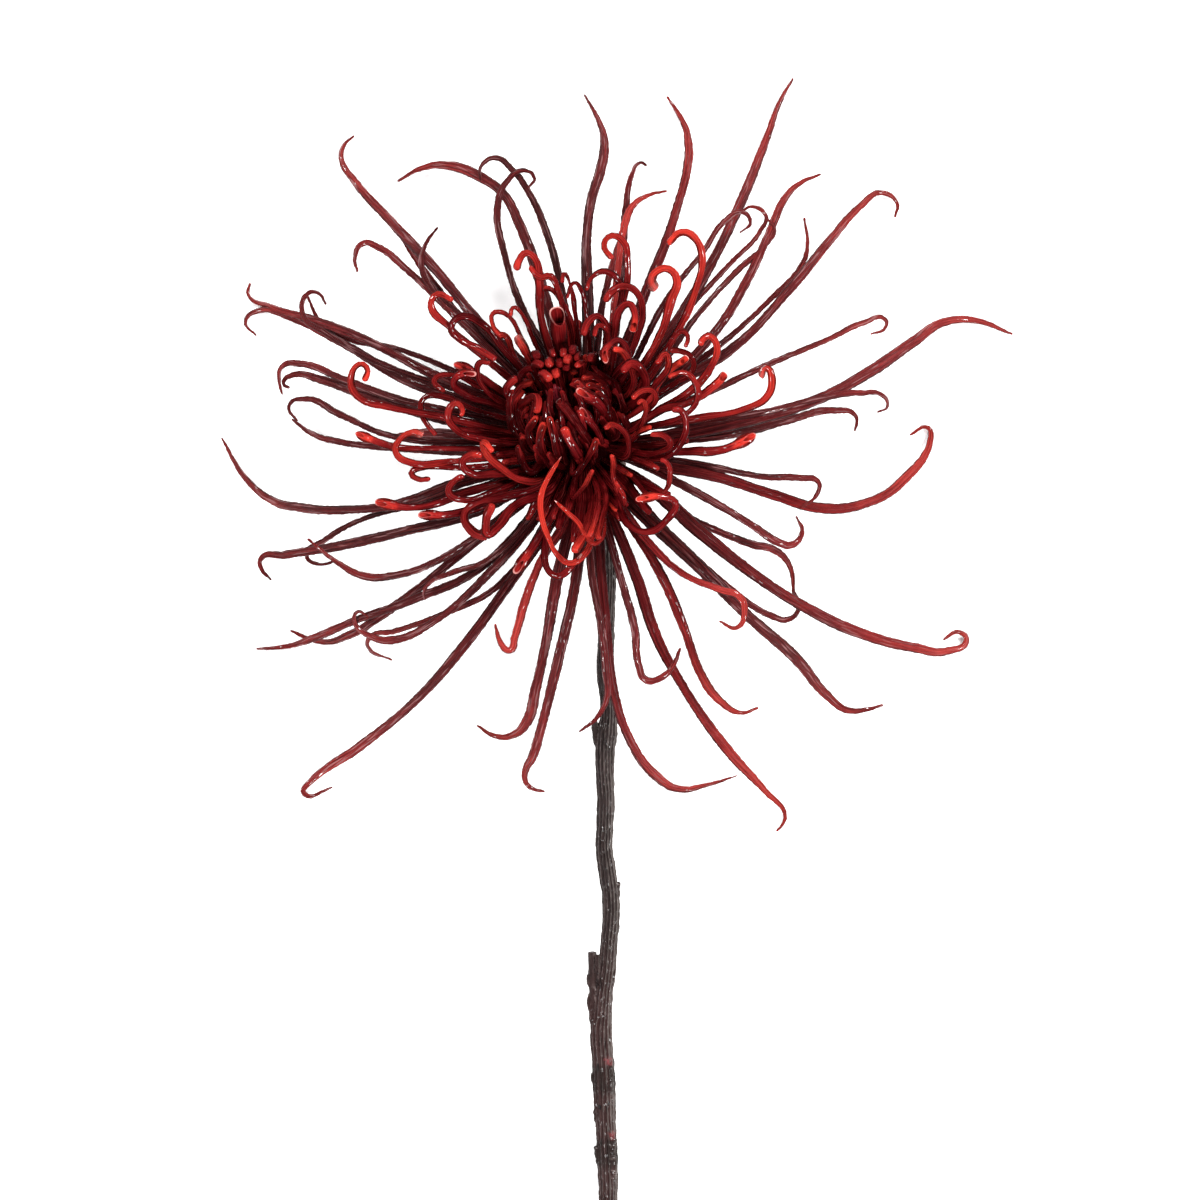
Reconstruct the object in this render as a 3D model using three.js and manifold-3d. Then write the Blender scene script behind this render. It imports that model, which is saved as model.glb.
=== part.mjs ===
// A cut spider chrysanthemum lying on a surface, bloom face up, in millimetres with +Z up.
// The head leans on its neck, long quill florets spread round it, shorter hooked florets
// stand above them, and incurved florets close over the heart of the bloom.
import * as THREE from "three";
import { mergeVertices } from "three/addons/utils/BufferGeometryUtils.js";
import Module from "manifold-3d";

const wasm = await Module();
wasm.setup();

// ---- driving dimensions -------------------------------------------------------------
const BLOOM_X = -7.2; // middle of the bloom in the part's frame
const BLOOM_Y = 61.4;
const HEAD = new THREE.Vector3(-2, 0, 41); // foot of the head's axis, from the bloom's middle
const LEAN = THREE.MathUtils.degToRad(32); // the head's axis leans this far from upright
const LEAN_TOWARDS = THREE.MathUtils.degToRad(120); // and to this side, from +X
const GAP = 0.3; // between nodes that touch

const DISC_RADIUS = 11.5; // long florets grow from this disc
const DISC_BOTTOM = -2.7; // heights along the head's axis, from its foot
const DISC_TOP = 0.5;
const RING_RADIUS = 10.6; // hooked florets grow from this one
const RING_TOP = 4.6;
const DOME_RADIUS = 8; // the crown florets grow from a dome on top
const DOME_TOP = 12.5;
const CUP_BOTTOM = -9.5; // the green cup under the head
const ROOT_DEPTH = 6.5; // distance of a floret's root from the head's axis

const STEM_SIDES = 12;
const TIP_WIDTH = 0.62; // no blade gets thinner than this
const FLATNESS = 0.66; // a long floret's thickness for its width
const QUILL_FLATNESS = 0.8; // and a hooked or crown floret's
const LYING = 0.6; // middle of a floret that lies on the surface

// ---- the head's frame ---------------------------------------------------------------
const AXIS = new THREE.Vector3(
  Math.sin(LEAN) * Math.cos(LEAN_TOWARDS),
  Math.sin(LEAN) * Math.sin(LEAN_TOWARDS),
  Math.cos(LEAN),
);
const LEAN_PLAN = new THREE.Vector2(Math.cos(LEAN_TOWARDS), Math.sin(LEAN_TOWARDS));
const UP = new THREE.Vector3(0, 0, 1);
const HEAD_TURN = new THREE.Quaternion().setFromUnitVectors(UP, AXIS);

/** A point given by radius, angle and height about the head's axis. */
function headPoint(radius, angle, height) {
  return new THREE.Vector3(radius * Math.cos(angle), radius * Math.sin(angle), height)
    .applyQuaternion(HEAD_TURN)
    .add(HEAD);
}

/** Evenly scattered fractions from 0 to 1, the same every time. */
const scatter = (k) => (k * 0.6180339887 + 0.37) % 1;

const ramp = (value, from, to) => THREE.MathUtils.clamp((value - from) / (to - from), 0, 1);

/** The surface that parts the hooked florets above it from the long florets below it. */
const PARTING = (DISC_TOP + GAP / 2) / Math.cos(LEAN);
const FLATTENING = 22; // the lean of this surface fades out over this distance
const DROOP = 28; // how far it sinks 100 mm from the head
const ARCH = 9; // how far it bulges between the head and ARCH_END
const ARCH_START = 10;
const ARCH_END = 88;
function partingHeight(x, y) {
  const dx = x - HEAD.x;
  const dy = y - HEAD.y;
  const out = Math.hypot(dx, dy);
  const towards = dx * LEAN_PLAN.x + dy * LEAN_PLAN.y;
  const fade = 1 / (1 + Math.max(0, out - ARCH_START) / FLATTENING);
  const bulge = ARCH * Math.sin(Math.PI * ramp(out, ARCH_START, ARCH_END));
  return HEAD.z + PARTING + bulge - Math.tan(LEAN) * towards * fade - DROOP * (out / 100) ** 2;
}

// ---- solids -------------------------------------------------------------------------
/** A closed three.js geometry as a solid that can be joined and cut. */
function solid(geometry) {
  const bare = geometry.clone();
  bare.deleteAttribute("normal");
  bare.deleteAttribute("uv");
  const merged = mergeVertices(bare, 1e-4);
  return new wasm.Manifold(
    new wasm.Mesh({
      numProp: 3,
      vertProperties: merged.attributes.position.array,
      triVerts: new Uint32Array(merged.index.array),
    }),
  );
}

/** A joined solid as a geometry again. */
function geometryOf(made) {
  const { vertProperties, triVerts } = made.getMesh();
  const geometry = new THREE.BufferGeometry();
  geometry.setAttribute("position", new THREE.BufferAttribute(vertProperties, 3));
  geometry.setIndex(new THREE.BufferAttribute(triVerts, 1));
  geometry.computeVertexNormals();
  return geometry;
}

/** A closed body of revolution about the head's axis, from its [radius, height] profile. */
function turned(profile, segments) {
  const points = profile.map(([radius, height]) => new THREE.Vector2(radius, height));
  const geometry = new THREE.LatheGeometry(points, segments);
  geometry.rotateX(Math.PI / 2);
  geometry.applyQuaternion(HEAD_TURN);
  geometry.translate(HEAD.x, HEAD.y, HEAD.z);
  return solid(geometry);
}

const STRAP = [[-0.5, -0.42], [0.5, -0.42], [0.42, 0.5], [-0.42, 0.5]]; // four-sided section
const QUILL = [[-0.5, 0.3], [0, -0.6], [0.5, 0.3]]; // three-sided section

/** A prism along a row of rings: each ring has a centre, two axes, a width and a thickness. */
function loft(section, rings) {
  const steps = rings.length - 1;
  const shape = new THREE.Shape(section.map(([x, y]) => new THREE.Vector2(x, y)));
  const geometry = new THREE.ExtrudeGeometry(shape, { depth: 1, steps, bevelEnabled: false });
  const position = geometry.attributes.position;
  const corner = new THREE.Vector3();
  for (let i = 0; i < position.count; i++) {
    corner.fromBufferAttribute(position, i);
    const ring = rings[Math.round(corner.z * steps)];
    const across = ring.side.clone().multiplyScalar(corner.x * ring.width);
    const through = ring.top.clone().multiplyScalar(corner.y * ring.thickness);
    corner.copy(ring.centre).add(across).add(through);
    position.setXYZ(i, corner.x, corner.y, corner.z);
  }
  return solid(geometry);
}

/** The distance along a row of points to each of them. */
function runningLengths(points) {
  const lengths = [0];
  for (let i = 1; i < points.length; i++) {
    lengths.push(lengths[i - 1] + points[i].distanceTo(points[i - 1]));
  }
  return lengths;
}

/** The radius of the circle through three points. */
function bendRadius(a, b, c) {
  const ab = a.distanceTo(b);
  const bc = b.distanceTo(c);
  const ca = c.distanceTo(a);
  const area = new THREE.Triangle(a, b, c).getArea();
  return area < 1e-6 ? Infinity : (ab * bc * ca) / (4 * area);
}

const BEND_ROOM = 1.5; // widest a floret may be, in radii of its bend

/** The rings of a floret along its points; widthAt gives its width from root 0 to tip 1. */
function ringsAlong(points, steps, widthAt, topHint, flatness) {
  const curve = new THREE.CatmullRomCurve3(points, false, "centripetal");
  const centres = curve.getPoints(steps);
  const lengths = runningLengths(centres);
  return centres.map((centre, i) => {
    const before = centres[Math.max(0, i - 1)];
    const after = centres[Math.min(steps, i + 1)];
    const along = after.clone().sub(before).normalize();
    const side = topHint(centre).clone().cross(along).normalize();
    const top = along.clone().cross(side).normalize();
    const inside = i > 0 && i < steps;
    const room = inside ? BEND_ROOM * bendRadius(before, centre, after) : Infinity;
    const width = Math.min(widthAt(lengths[i] / lengths[steps]), Math.max(room, TIP_WIDTH));
    const thickness = Math.max(width * flatness, TIP_WIDTH);
    return { centre, side, top, width, thickness };
  });
}

const GROWN_AT = 0.35; // a floret reaches its full width at this share of its length

/** A floret's width: narrow at its root, full along its length, tapering to its tip. */
function taper(rootWidth, fullWidth, tipStart, tipWidth) {
  return (s) => {
    const grown = THREE.MathUtils.lerp(rootWidth, fullWidth, ramp(s, 0, GROWN_AT));
    return THREE.MathUtils.lerp(grown, tipWidth, ramp(s, tipStart, 1) ** 1.4);
  };
}

// ---- florets given by their plan ----------------------------------------------------
// Each row: width, height, then x and y of points from the head outwards, seen from above
// and measured from the bloom's middle. For long florets the height is how far the tip
// sinks below the parting surface, for hooked florets how far the tip stands above it.
const LONG_FLORETS = [
  [2.5, 9, 0, 22, -0.2, 40, -0.4, 50, 0.8, 61, 3.2, 69, 4.1, 75, 3.2, 80, -1, 88],
  [2.2, 12, 9, 24, 15.2, 40, 19.3, 50, 22.5, 60, 24.8, 69, 25.2, 75, 23.8, 81, 19.8, 87.4],
  [1.7, 4, 6, 24, 8.4, 45, 9.6, 60, 11, 67.5, 13, 70.5, 14.7, 69.8],
  [1.7, 0, 5, 22, 7.6, 44, 9, 54, 11.5, 60, 15, 62.2, 19.8, 63.4],
  [1.7, 5, -4, 22, -7.5, 43, -10.4, 53, -14.5, 62.5, -19, 68.8, -23.5, 71.8, -26.6, 70, -27, 66],
  [1.6, 3, -9, 20, -16.5, 34, -21, 48, -22.7, 59, -20, 66.3, -16.5, 68.6, -13.4, 66.6, -14.9, 64.3],
  [2.3, 8, -7, 23, -14, 47, -17.4, 55.5, -20.8, 62.2, -27, 67, -35.5, 70, -42, 69.2, -47.8, 66],
  [2.4, 11, -12, 15, -26, 29, -38, 43.5, -50, 56.5, -58.5, 66, -61.9, 71.5, -61.3, 75, -58.6, 77.6],
  [1.6, 2, -16, 17, -31, 31.5, -38.3, 38, -41.7, 45, -40.8, 49.8, -37.6, 54.4],
  [1.7, 6, -16, 15, -33, 32, -45, 43.4, -53, 49.6, -56.6, 50.3, -58.4, 47, -57.8, 43.2],
  [2.0, 14, -18, 8, -38, 17, -55, 25.8, -70, 31.6, -80, 34.7, -85.2, 37.4, -84.8, 40.6],
  [2.2, 20, -20, 7, -44, 15.4, -62, 25.6, -76, 32.6, -82, 33.8, -86, 30.8, -83.2, 27.3],
  [1.4, 6, -19, 9, -50, 19.4, -66, 28, -71.6, 33, -70.6, 37.6, -67.8, 38, -65.6, 35],
  [1.3, 15, -18, 10, -45, 23, -61, 26.8, -67, 30.5, -70.4, 37.2],
  [1.8, 9, -17, 5, -45, 10.5, -62, 16.6, -72, 20.2, -77, 19.2, -77.4, 15.6, -76.6, 12.4],
  [2.2, 13, -17, 3, -38, 6.6, -55, 12, -67, 16.2, -74, 17.4, -76.4, 15.6, -74.8, 14.1],
  [1.5, 17, -17, 0.5, -48, 1.8, -62, 7.4, -71, 11.4, -75, 9.6, -72.8, 5.8],
  [1.6, 21, -18, -2, -50, -0.8, -63, 0.8, -69, 2.6, -74.4, 6.4],
  [2.2, 22, -15, -5, -32, -9.6, -46, -14.6, -60, -16.4, -72, -15.8, -80, -13.6, -86, -8.4, -92, 1.8],
  [1.3, 25, -16, -7, -43, -15, -56, -18.6, -66, -24, -70.4, -28.4, -67.4, -30, -62.8, -29],
  [2.2, 12, -14, -9, -30, -17.6, -46, -21.8, -62, -25.4, -76, -27.7, -82.2, -29, -82, -31, -79.4, -34],
  [1.8, 5, -12, -11, -26, -22, -38, -29.4, -48, -32.8, -56, -33, -63, -29.4, -70.2, -23.7],
  [1.9, 18, -11, -14, -27, -31, -43, -38.6, -58, -44, -69, -48.6, -76, -50.7, -83.3, -51.3],
  [2.0, 26, -13, -11, -31, -26.6, -41, -35, -52, -43, -60, -47.8, -68, -49.3, -74.8, -46.6],
  [1.8, 10, -11, -16, -25, -32.6, -38, -44, -49, -49, -55, -47.8, -58.5, -44.4, -57.6, -41.9, -55, -43.3],
  [1.5, 22, -9, -17, -22, -35, -36, -42.4, -48, -46.7, -55, -48.8, -55, -51, -49, -54.1],
  [1.3, 2, -12, -15, -25, -29, -34, -32.2, -39.6, -34.8, -41, -37, -40.7, -39],
  [2.2, 21, -8, -17, -20, -35.4, -31, -50.4, -42, -63, -58, -76.3, -69.6, -84.6, -71.4, -87.4, -64, -86],
  [1.7, -4, -5, -18, -11.6, -29, -15.6, -39, -18.2, -48, -19.7, -51.6, -21.6, -50, -23.2, -45],
  [2.4, 22, -4, -18, -7.6, -33, -10.2, -48, -13, -61, -15.3, -69.4, -18.6, -72.7, -23, -73.2, -28, -70.3],
  [2.3, 12, -1.5, -18, -3.4, -36, -7, -52, -10.4, -66, -13.4, -77, -15.7, -84.4, -14, -86.2, -10.8, -87],
  [1.8, 6, 0.5, -18, 1, -33, 3, -44, 4.4, -56, 4.6, -63.6, 2, -68.6, -2.3, -72],
  [2.4, 18, 2, -17, 3.4, -34, 4.6, -48, 6, -60, 11, -75, 17, -83, 23, -86.4, 30, -85.3, 37.5, -83],
  [1.8, 2, 3.5, -17, 8.6, -35, 11.6, -46, 12.6, -55, 14.6, -59, 18.6, -58.2, 21.4, -55, 23, -51],
  [2.3, 23, 5, -16, 12, -33, 16.6, -47, 24, -61, 35, -76.6, 45, -87.5, 49.4, -92.6, 49, -95, 47.3, -97],
  [2.2, 8, 7.5, -15, 18.4, -33, 24, -46, 28, -57, 33, -64.2, 38.6, -67.2, 42.6, -65.9],
  [2.6, 16, 9, -13, 25, -28, 39, -42, 52, -53.6, 60, -63, 65, -66.6, 69.6, -66.5, 74, -65.3],
  [1.6, -6, 8, -15, 16, -25.6, 24, -32.6, 33, -36.4, 38, -38.4, 39, -42, 37.6, -45.6, 32.7, -44.3],
  [1.7, 12, 10, -12, 24, -26, 36, -36.6, 46, -43, 50.4, -43.7, 52.6, -41.4, 51.3, -36],
  [1.8, 20, 10, -10, 21, -16.6, 31, -21.2, 41, -25.5, 47.4, -27.6, 51, -32, 51.6, -38.6],
  [1.8, 4, 12, -6, 26, -13.2, 38, -20.2, 46, -25, 51, -25.6, 53.5, -22.6, 52, -18],
  [2.6, 18, 11, -9, 28, -22, 42, -33, 55, -41.2, 69, -47.6, 82, -51, 90, -51.8, 95, -49, 93, -47, 89, -49],
  [1.6, 6, 14, -3, 30, -5.6, 44, -8.2, 53, -8.5, 57.6, -9.6, 57.4, -12.2, 53.4, -16],
  [2.3, 28, 14, -4.5, 32, -8.2, 46, -12.6, 58, -16, 70, -14.6, 79, -9, 86, 1.6, 85.4, 4.2, 80.7, 2.4],
  [2.6, 14, 15, 3, 38, 5.6, 56, 10.6, 70, 17.8, 82, 26, 89, 30.6, 97, 31.2, 106.5, 27.7],
  [1.5, 8, 15, 5, 42, 7.6, 58, 11.4, 68, 12.8, 74.2, 11.8, 75, 9.8, 72.3, 7.9],
  [1.7, 21, 15, 1.5, 36, 2.6, 50, 6, 62, 8.5, 67.2, 6.8, 66.8, 3.2],
  [1.5, 3, 14, 5.5, 28, 11.8, 44, 19.4, 60, 26.2, 69, 30.4, 74.4, 31.2, 74.4, 29.2, 70.7, 27.5],
  [2.1, 9, 13, 7, 36, 23.6, 50, 38.2, 61, 51.6, 68.6, 60, 73.6, 63.2, 77.4, 60.8, 77, 57],
  [1.3, 13, 13, 8.5, 32, 23.6, 46, 36.6, 53.6, 45, 55, 50, 54.2, 56.8],
  [2.0, 4, 13, 10, 31, 27, 40, 41.4, 45.4, 53, 49.6, 62, 53, 65.4, 58.5, 67.8],
  [2.4, 12, 9, 13, 20, 27, 30, 43.6, 38, 60, 44.5, 76, 48.4, 86.5, 51.5, 92],
  [1.3, 0, 9, 16, 20, 36.6, 29, 48.4, 34.4, 56, 38.6, 58.1, 40.6, 55.6, 38, 52.8],
  [1.2, 8, 11, 16, 24, 32.4, 35, 44.6, 43.4, 53.8, 44.4, 57.6, 41.6, 59.5, 38.4, 58.4],
  [1.5, 3, 12, 12, 28, 33, 38, 44, 45, 50.4, 46.7, 54, 44.2, 57],
  [1.6, 15, 2, 22, 3.4, 34, 5.6, 43, 8, 52],
  [1.8, 12, -13, 13, -29, 28, -40, 42, -47, 52],
];

const HOOKED_FLORETS = [
  [2.2, 14, -8, 19, -11.8, 32, -12.2, 41, -13.4, 46.4, -15.4, 47.6, -17, 46, -18, 43.4],
  [1.7, 10, -4, 19, -5.6, 31, -7.4, 38, -9.4, 41.8, -12, 41.6, -14.6, 44.4],
  [1.4, 6, -3, 20, -4.4, 31, -6.8, 35.8, -9.6, 38.8, -11.8, 38.6],
  [2.8, 18, -5.6, 18, -7, 25, -7.7, 33.2],
  [1.9, 10, 8, 17, 12.6, 28, 13.6, 34, 12, 38, 9, 39.3, 6, 38, 4.2, 35.4],
  [2.0, 16, 5, 17, 6.6, 28, 8, 33.4, 10.2, 34.8, 11.7, 32.4, 11.3, 28.2],
  [1.6, 12, 6, 20, 8.8, 34, 8, 40, 4.6, 43, 1, 41.6, -0.6, 38.2],
  [2.0, 18, 3, 17, 4.6, 25, 4.4, 29.6, 2.4, 31.8, 0.2, 30.4, -1.2, 27],
  [1.7, 8, 7, 20, 9.8, 36, 9.9, 45, 8.4, 51, 5.6, 51.9, 4, 49.6, 6, 46.2],
  [2.0, 16, 12, 14, 22.6, 28.6, 27, 39, 28.4, 47, 26.6, 51.4, 23.6, 52.8, 20, 49.8],
  [2.2, 20, 9.6, 14, 18, 27, 20.8, 36, 22.2, 40.6, 20.4, 43.4, 17.4, 43, 15.9, 40.6, 17, 38.4],
  [1.3, 12, 12, 12, 18.6, 21, 21.4, 26.4, 23.6, 28, 24.9, 26.6, 24.2, 24],
  [1.6, 7, 13, 8, 22, 14.6, 26, 18, 26.2, 21, 23.4, 23, 20.4, 23.3],
  [1.8, 20, 12, 10, 17.6, 15.6, 20.2, 19.6, 19.4, 22.3, 17, 20],
  [1.9, 13, 14, 9.6, 19.4, 17.4, 24.6, 21.3],
  [2.0, 15, 13, 6, 25.4, 13, 30.6, 19, 32.2, 24, 30.4, 26.8, 28.6, 26, 28, 24.4],
  [1.6, 16, 14, 3, 23.6, 6, 27, 10.6, 26.9, 14.8, 24, 17.6, 20.2, 16.6],
  [2.1, 9, 14, 4.6, 25, 9.6, 31, 14, 34.4, 17.4],
  [1.8, 17, 12, -3.6, 20, -3, 23.6, 1, 24.4, 5.4, 23, 8.3, 21, 8.4],
  [1.6, 18, 11, -2.2, 17.6, -2.2, 20.6, 0.4, 18.8, 2.7, 15.6, 3],
  [2.0, 24, 10.6, 0.6, 14, 5.6, 14.8, 10.4, 13.2, 12.7, 11.2, 10.8],
  [2.4, 21, 9.6, 9, 14.2, 13.6, 13.8, 17.6, 10.8, 20, 8.4, 18],
  [1.9, 18, 6, 14, 9.8, 18.6, 9, 22.6, 6.2, 24.6, 4.4, 22.6, 5.2, 19.8],
  [1.6, 24, 9.6, -1, 12.4, 1.6, 11.2, 4, 8, 4.4],
  [1.6, 14, 12.6, 1, 14.4, 4, 16.4, 3.2],
  [2.3, 9, -16, 9, -24, 14.6, -29.4, 18.2, -33.4, 20],
  [2.0, 14, -15, 6.6, -24, 10, -30.6, 12.2, -33.6, 15.2, -31.8, 17.2, -28.2, 17.4],
  [1.4, 18, -13, 5, -20.6, 9, -26.4, 14.4, -28.6, 18.6, -27, 20.8, -24.5, 19.6],
  [1.5, 4, -16, 5, -29, 8.8, -36.6, 11.9, -41, 11.4, -41.6, 7.6, -38, 2.2],
  [1.8, 15, -14, 0, -27, 1.2, -33, 3.6, -34.9, 7.6, -33, 10, -31.3, 8.4, -31.6, 6.8],
  [1.6, 8, -15, 8, -27, 14.4, -35, 17.4, -38.4, 16, -35.8, 12.8],
  [2.0, 14, -15, 2, -36, 6.6, -50, 9.4, -57.4, 11.8, -59.2, 16, -57, 19.9, -55, 18.4, -56, 15.6],
  [1.8, 6, -16, -1, -38, -1.2, -48, -0.8, -53.6, 0.9, -58.3, 2.8],
  [1.8, 13, -14, -2, -34, -4.4, -44.4, -4.7, -48, -2, -47, 1, -43.8, 2.8, -41, 2.2],
  [1.8, 7, -14, -4, -32, -6, -41, -5.8, -44, -7.4, -42.4, -8.8, -39.3, -8.7],
  [2.0, 16, -13, -5.6, -24, -7.6, -30, -7, -31.3, -4.8, -29.4, -3, -26.4, -2.8],
  [2.0, 21, -12, -9, -16.6, -9, -21.4, -6.2, -25.6, -2, -26, 0.2, -23.8, -2],
  [1.8, 11, -13, -7, -24, -12.2, -31, -14, -34.7, -12, -33.6, -9.6, -31, -8],
  [2.5, 7, -14, -7, -30, -12, -42, -15.8, -53.4, -14.6],
  [2.4, 9, -13, -9, -26, -14.6, -34, -17.2, -42.4, -17.8],
  [2.0, 9, -11, -10, -22, -13.6, -28, -15, -31, -18, -29, -21.8, -25, -23.4],
  [2.0, 18, -9.6, -11.6, -18, -16.4, -23.8, -22, -25.4, -22.8, -25, -19.6, -22.6, -16.4],
  [2.0, 25, -5, -14, -7.6, -27, -8.8, -28.4, -10.2, -24, -12, -17.6, -11.6, -12, -9.4, -8, -6.6, -3.4],
  [1.9, 7, -8, -14, -10.6, -25, -9.8, -31.6, -7.2, -33, -4.4, -31, -1.6, -27.6],
  [2.7, 4, -7, -14, -12.4, -23.6, -18.2, -32.2],
  [1.6, 20, 3, -13, 4.2, -20, 2.6, -24.4, -0.4, -23, -4, -18.2, -8.5, -14.3],
  [2.8, 13, 0.6, -13.6, -0.4, -21, -2.8, -27.4],
  [1.6, 16, -2.6, -13.6, -2.8, -16, -1, -14.6, 1.2, -11.6],
  [1.7, 19, 6, -11, 8.4, -13.6, 7.6, -9, 6.2, -5.4],
  [1.6, 12, 9, -6.6, 11, -7.4, 13.4, -8.6],
  [1.6, 17, 7, -11, 10.6, -16.2, 9, -12.2],
  [1.4, 9, 4.6, -13, 7.2, -18],
  [2.2, 18, 6.6, -12.6, 10.6, -20.6, 15.4, -22, 20, -18.6, 21.8, -15, 19.2, -13.4, 12, -13.9],
  [1.6, 15, 10.6, -8, 16.4, -12.6, 19.6, -11, 20.6, -7.6, 18.2, -3.9],
  [2.1, 10, 13, -2, 25, -2, 33, -1.6, 37.6, 0, 41.4, 2],
  [2.0, 11, 14, 4, 28, 6.4, 39, 8.6, 44.6, 11.6, 45.9, 15.4, 44.4, 19, 43, 16.4],
  [2.2, 10, -12, 13, -21, 23, -26.6, 30, -31.6, 32, -35, 29, -33, 26, -28.4, 21.8],
  [1.8, 11, -13, 11, -26, 21.6, -35, 29.6, -39.2, 34.4, -38, 37.2, -33.7, 35.8],
  [1.3, 13, -11, 15, -16.4, 26, -20.6, 32.4, -23.6, 32.6, -23.8, 29.8, -21.8, 27],
  [1.2, 10, -9, 16, -13.6, 26, -17, 33, -18.6, 34, -19.3, 31.8],
  [2.4, 17, -10.4, 14.6, -14.4, 20.4, -18, 27.2],
  [1.6, 5, -12, 12, -18.6, 22, -21.4, 27.2, -23, 25.4],
  [1.1, 14, -2, 18, -3.2, 33, -4.6, 40.2, -5.8, 42.4, -6.5, 40.2],
  [1.1, 15, 0.6, 18, -0.4, 32, -1.8, 38.6, -3.2, 40.2, -5.4, 36.2],
];

/** A floret's points in space: its plan, with the root in the head and heights added. */
function floretPoints(plan, heightAt) {
  const flat = [];
  for (let i = 0; i < plan.length; i += 2) flat.push(new THREE.Vector2(plan[i], plan[i + 1]));
  const foot = new THREE.Vector2(HEAD.x, HEAD.y);
  const outward = flat[0].clone().sub(foot).normalize();
  flat.unshift(foot.clone().addScaledVector(outward, ROOT_DEPTH));
  const lengths = runningLengths(flat);
  const total = lengths[flat.length - 1];
  return flat.map((p, i) => {
    const out = p.distanceTo(foot);
    return new THREE.Vector3(p.x, p.y, heightAt(p.x, p.y, lengths[i] / total, out));
  });
}

/** How far a floret stands clear of the parting surface once it has left the head. */
const clearance = (full, out) => full * ramp(out, 10, 24);

function longFloret([width, sink, ...plan], index) {
  const layer = index % 2 ? -1.5 : -2.7;
  const points = floretPoints(plan, (x, y, s, out) => {
    const below = layer - clearance(1.6, out) - sink * s ** 1.7;
    const liftedTip = 2.5 * ramp(s, 0.86, 1) ** 2;
    return Math.max(partingHeight(x, y) + below + liftedTip, LYING);
  });
  const widthAt = taper(1.35, width, 0.62, TIP_WIDTH);
  const steps = Math.round(1.2 * (points.length - 1));
  return loft(STRAP, ringsAlong(points, steps, widthAt, () => UP, FLATNESS));
}

function hookedFloret([width, rise, ...plan], index) {
  const layer = 1.2 + 1.2 * (index % 3);
  const points = floretPoints(plan, (x, y, s, out) => {
    return partingHeight(x, y) + layer + clearance(1.2, out) + rise * s ** 1.4;
  });
  const widthAt = taper(1.3, width, 0.86, Math.max(TIP_WIDTH, width * 0.6));
  const steps = Math.round(1.3 * (points.length - 1));
  return loft(QUILL, ringsAlong(points, steps, widthAt, () => UP, QUILL_FLATNESS));
}

// ---- crown florets ------------------------------------------------------------------
// The incurved florets lie on a ball above the head, with a hollow eye near its top.
const BALL = headPoint(0, 0, 12.6);
const BALL_RADIUS = 12;
const EYE = new THREE.Vector2(-8.4, 13.4);
const EYE_DEPTH = 4;
const EYE_WIDTH = 3;

// Each row: width, depth under the ball's surface, then x and y of points from where the
// floret bends onto the ball to its tip, seen from above.
const CROWN_FLORETS = [
  [2.4, 0, -17.4, 2, -18.6, 7, -18, 11, -16, 13.2],
  [2.2, 0.3, -16, 1, -16.8, 6, -15.4, 10, -13.6, 11.8],
  [1.8, 0, -13.8, 3, -13.4, 7.6, -12.4, 11.6],
  [1.9, 0.8, -14.8, 0, -13.8, 4, -12.4, 6.8],
  [2.1, 0, -12, -1.4, -12, 2.6, -11, 5.6],
  [1.8, 0, -8, -2.6, -8.6, 2.6, -9.7, 7.2],
  [1.8, -0.6, -3.4, -2.2, -4.8, 1.6, -6.4, 4.4],
  [2.0, 0, -1, -2, -1, 4, -2, 9.2],
  [2.6, 0.4, -3.4, 2.6, -5.4, 7.4, -7.6, 11.8],
  [1.7, 0, -2.4, -6, 0.4, -2.8, 2.6, 1.4],
  [1.5, 0.8, 3, 1.8, 1, 5.2, -0.6, 8],
  [1.8, 0.8, 0, -4.4, -0.8, -1, -2.4, 2],
  [1.7, 0, -7.6, -5.6, -11, -2, -13.3, 0.8],
  [2.0, 0, -12.6, -5, -15.4, -3.2, -17.3, 0],
  [2.0, 0, -14.6, 19.4, -12, 18.2, -9.4, 15.8],
  [1.7, 0.4, -8.4, 19.6, -7.8, 18, -7.3, 15.9],
  [2.0, 0, -13.8, 20.6, -11.6, 19.2],
  [2.0, -0.4, -10.4, 21.8, -9.2, 18.9],
  [2.2, -0.6, -6.2, 22, -5.2, 19.8],
  [1.8, 0.4, -17.6, 12.6, -15.8, 14.6, -13.2, 15.4],
  [1.8, 0, -18.4, 13.4, -16.4, 16.4, -14.4, 17.8],
  [1.6, 0, 4.4, 15, 0, 17.6, -4.9, 18.1],
  [1.7, 0, 5, 12.8, 2, 15.6, -1.6, 16.3],
  [1.7, 0, 5.6, 10, 2.4, 13.8, -0.9, 15],
  [2.0, 0, 4, 7.6, 1, 11, -3.4, 13.8],
  [1.8, -0.4, 6, 7.4, 4.2, 11.2, 1.7, 13.3],
  [1.6, 0.6, 0.6, 11.6, -1.8, 14, -3.6, 16.2],
  [1.6, 0.4, 6.4, 4.6, 7, 8.6, 5.6, 12.6],
  [1.9, 0, -6.4, -6, -6.2, -2.4, -5.4, 0.4],
  [1.9, 0.4, -10.4, -5, -10.2, -1.4, -9.6, 1],
  [1.8, 0.4, 3.6, -3, 5.4, 1.4, 4.4, 5.4],
  [1.7, 0.6, -0.4, 19.6, -3, 20.2, -4.6, 19.6],
];
const CROWN_SKIRT = 15; // dark florets round the ball's underside
const SKIRT_WIDTH = 2.4;

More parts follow.
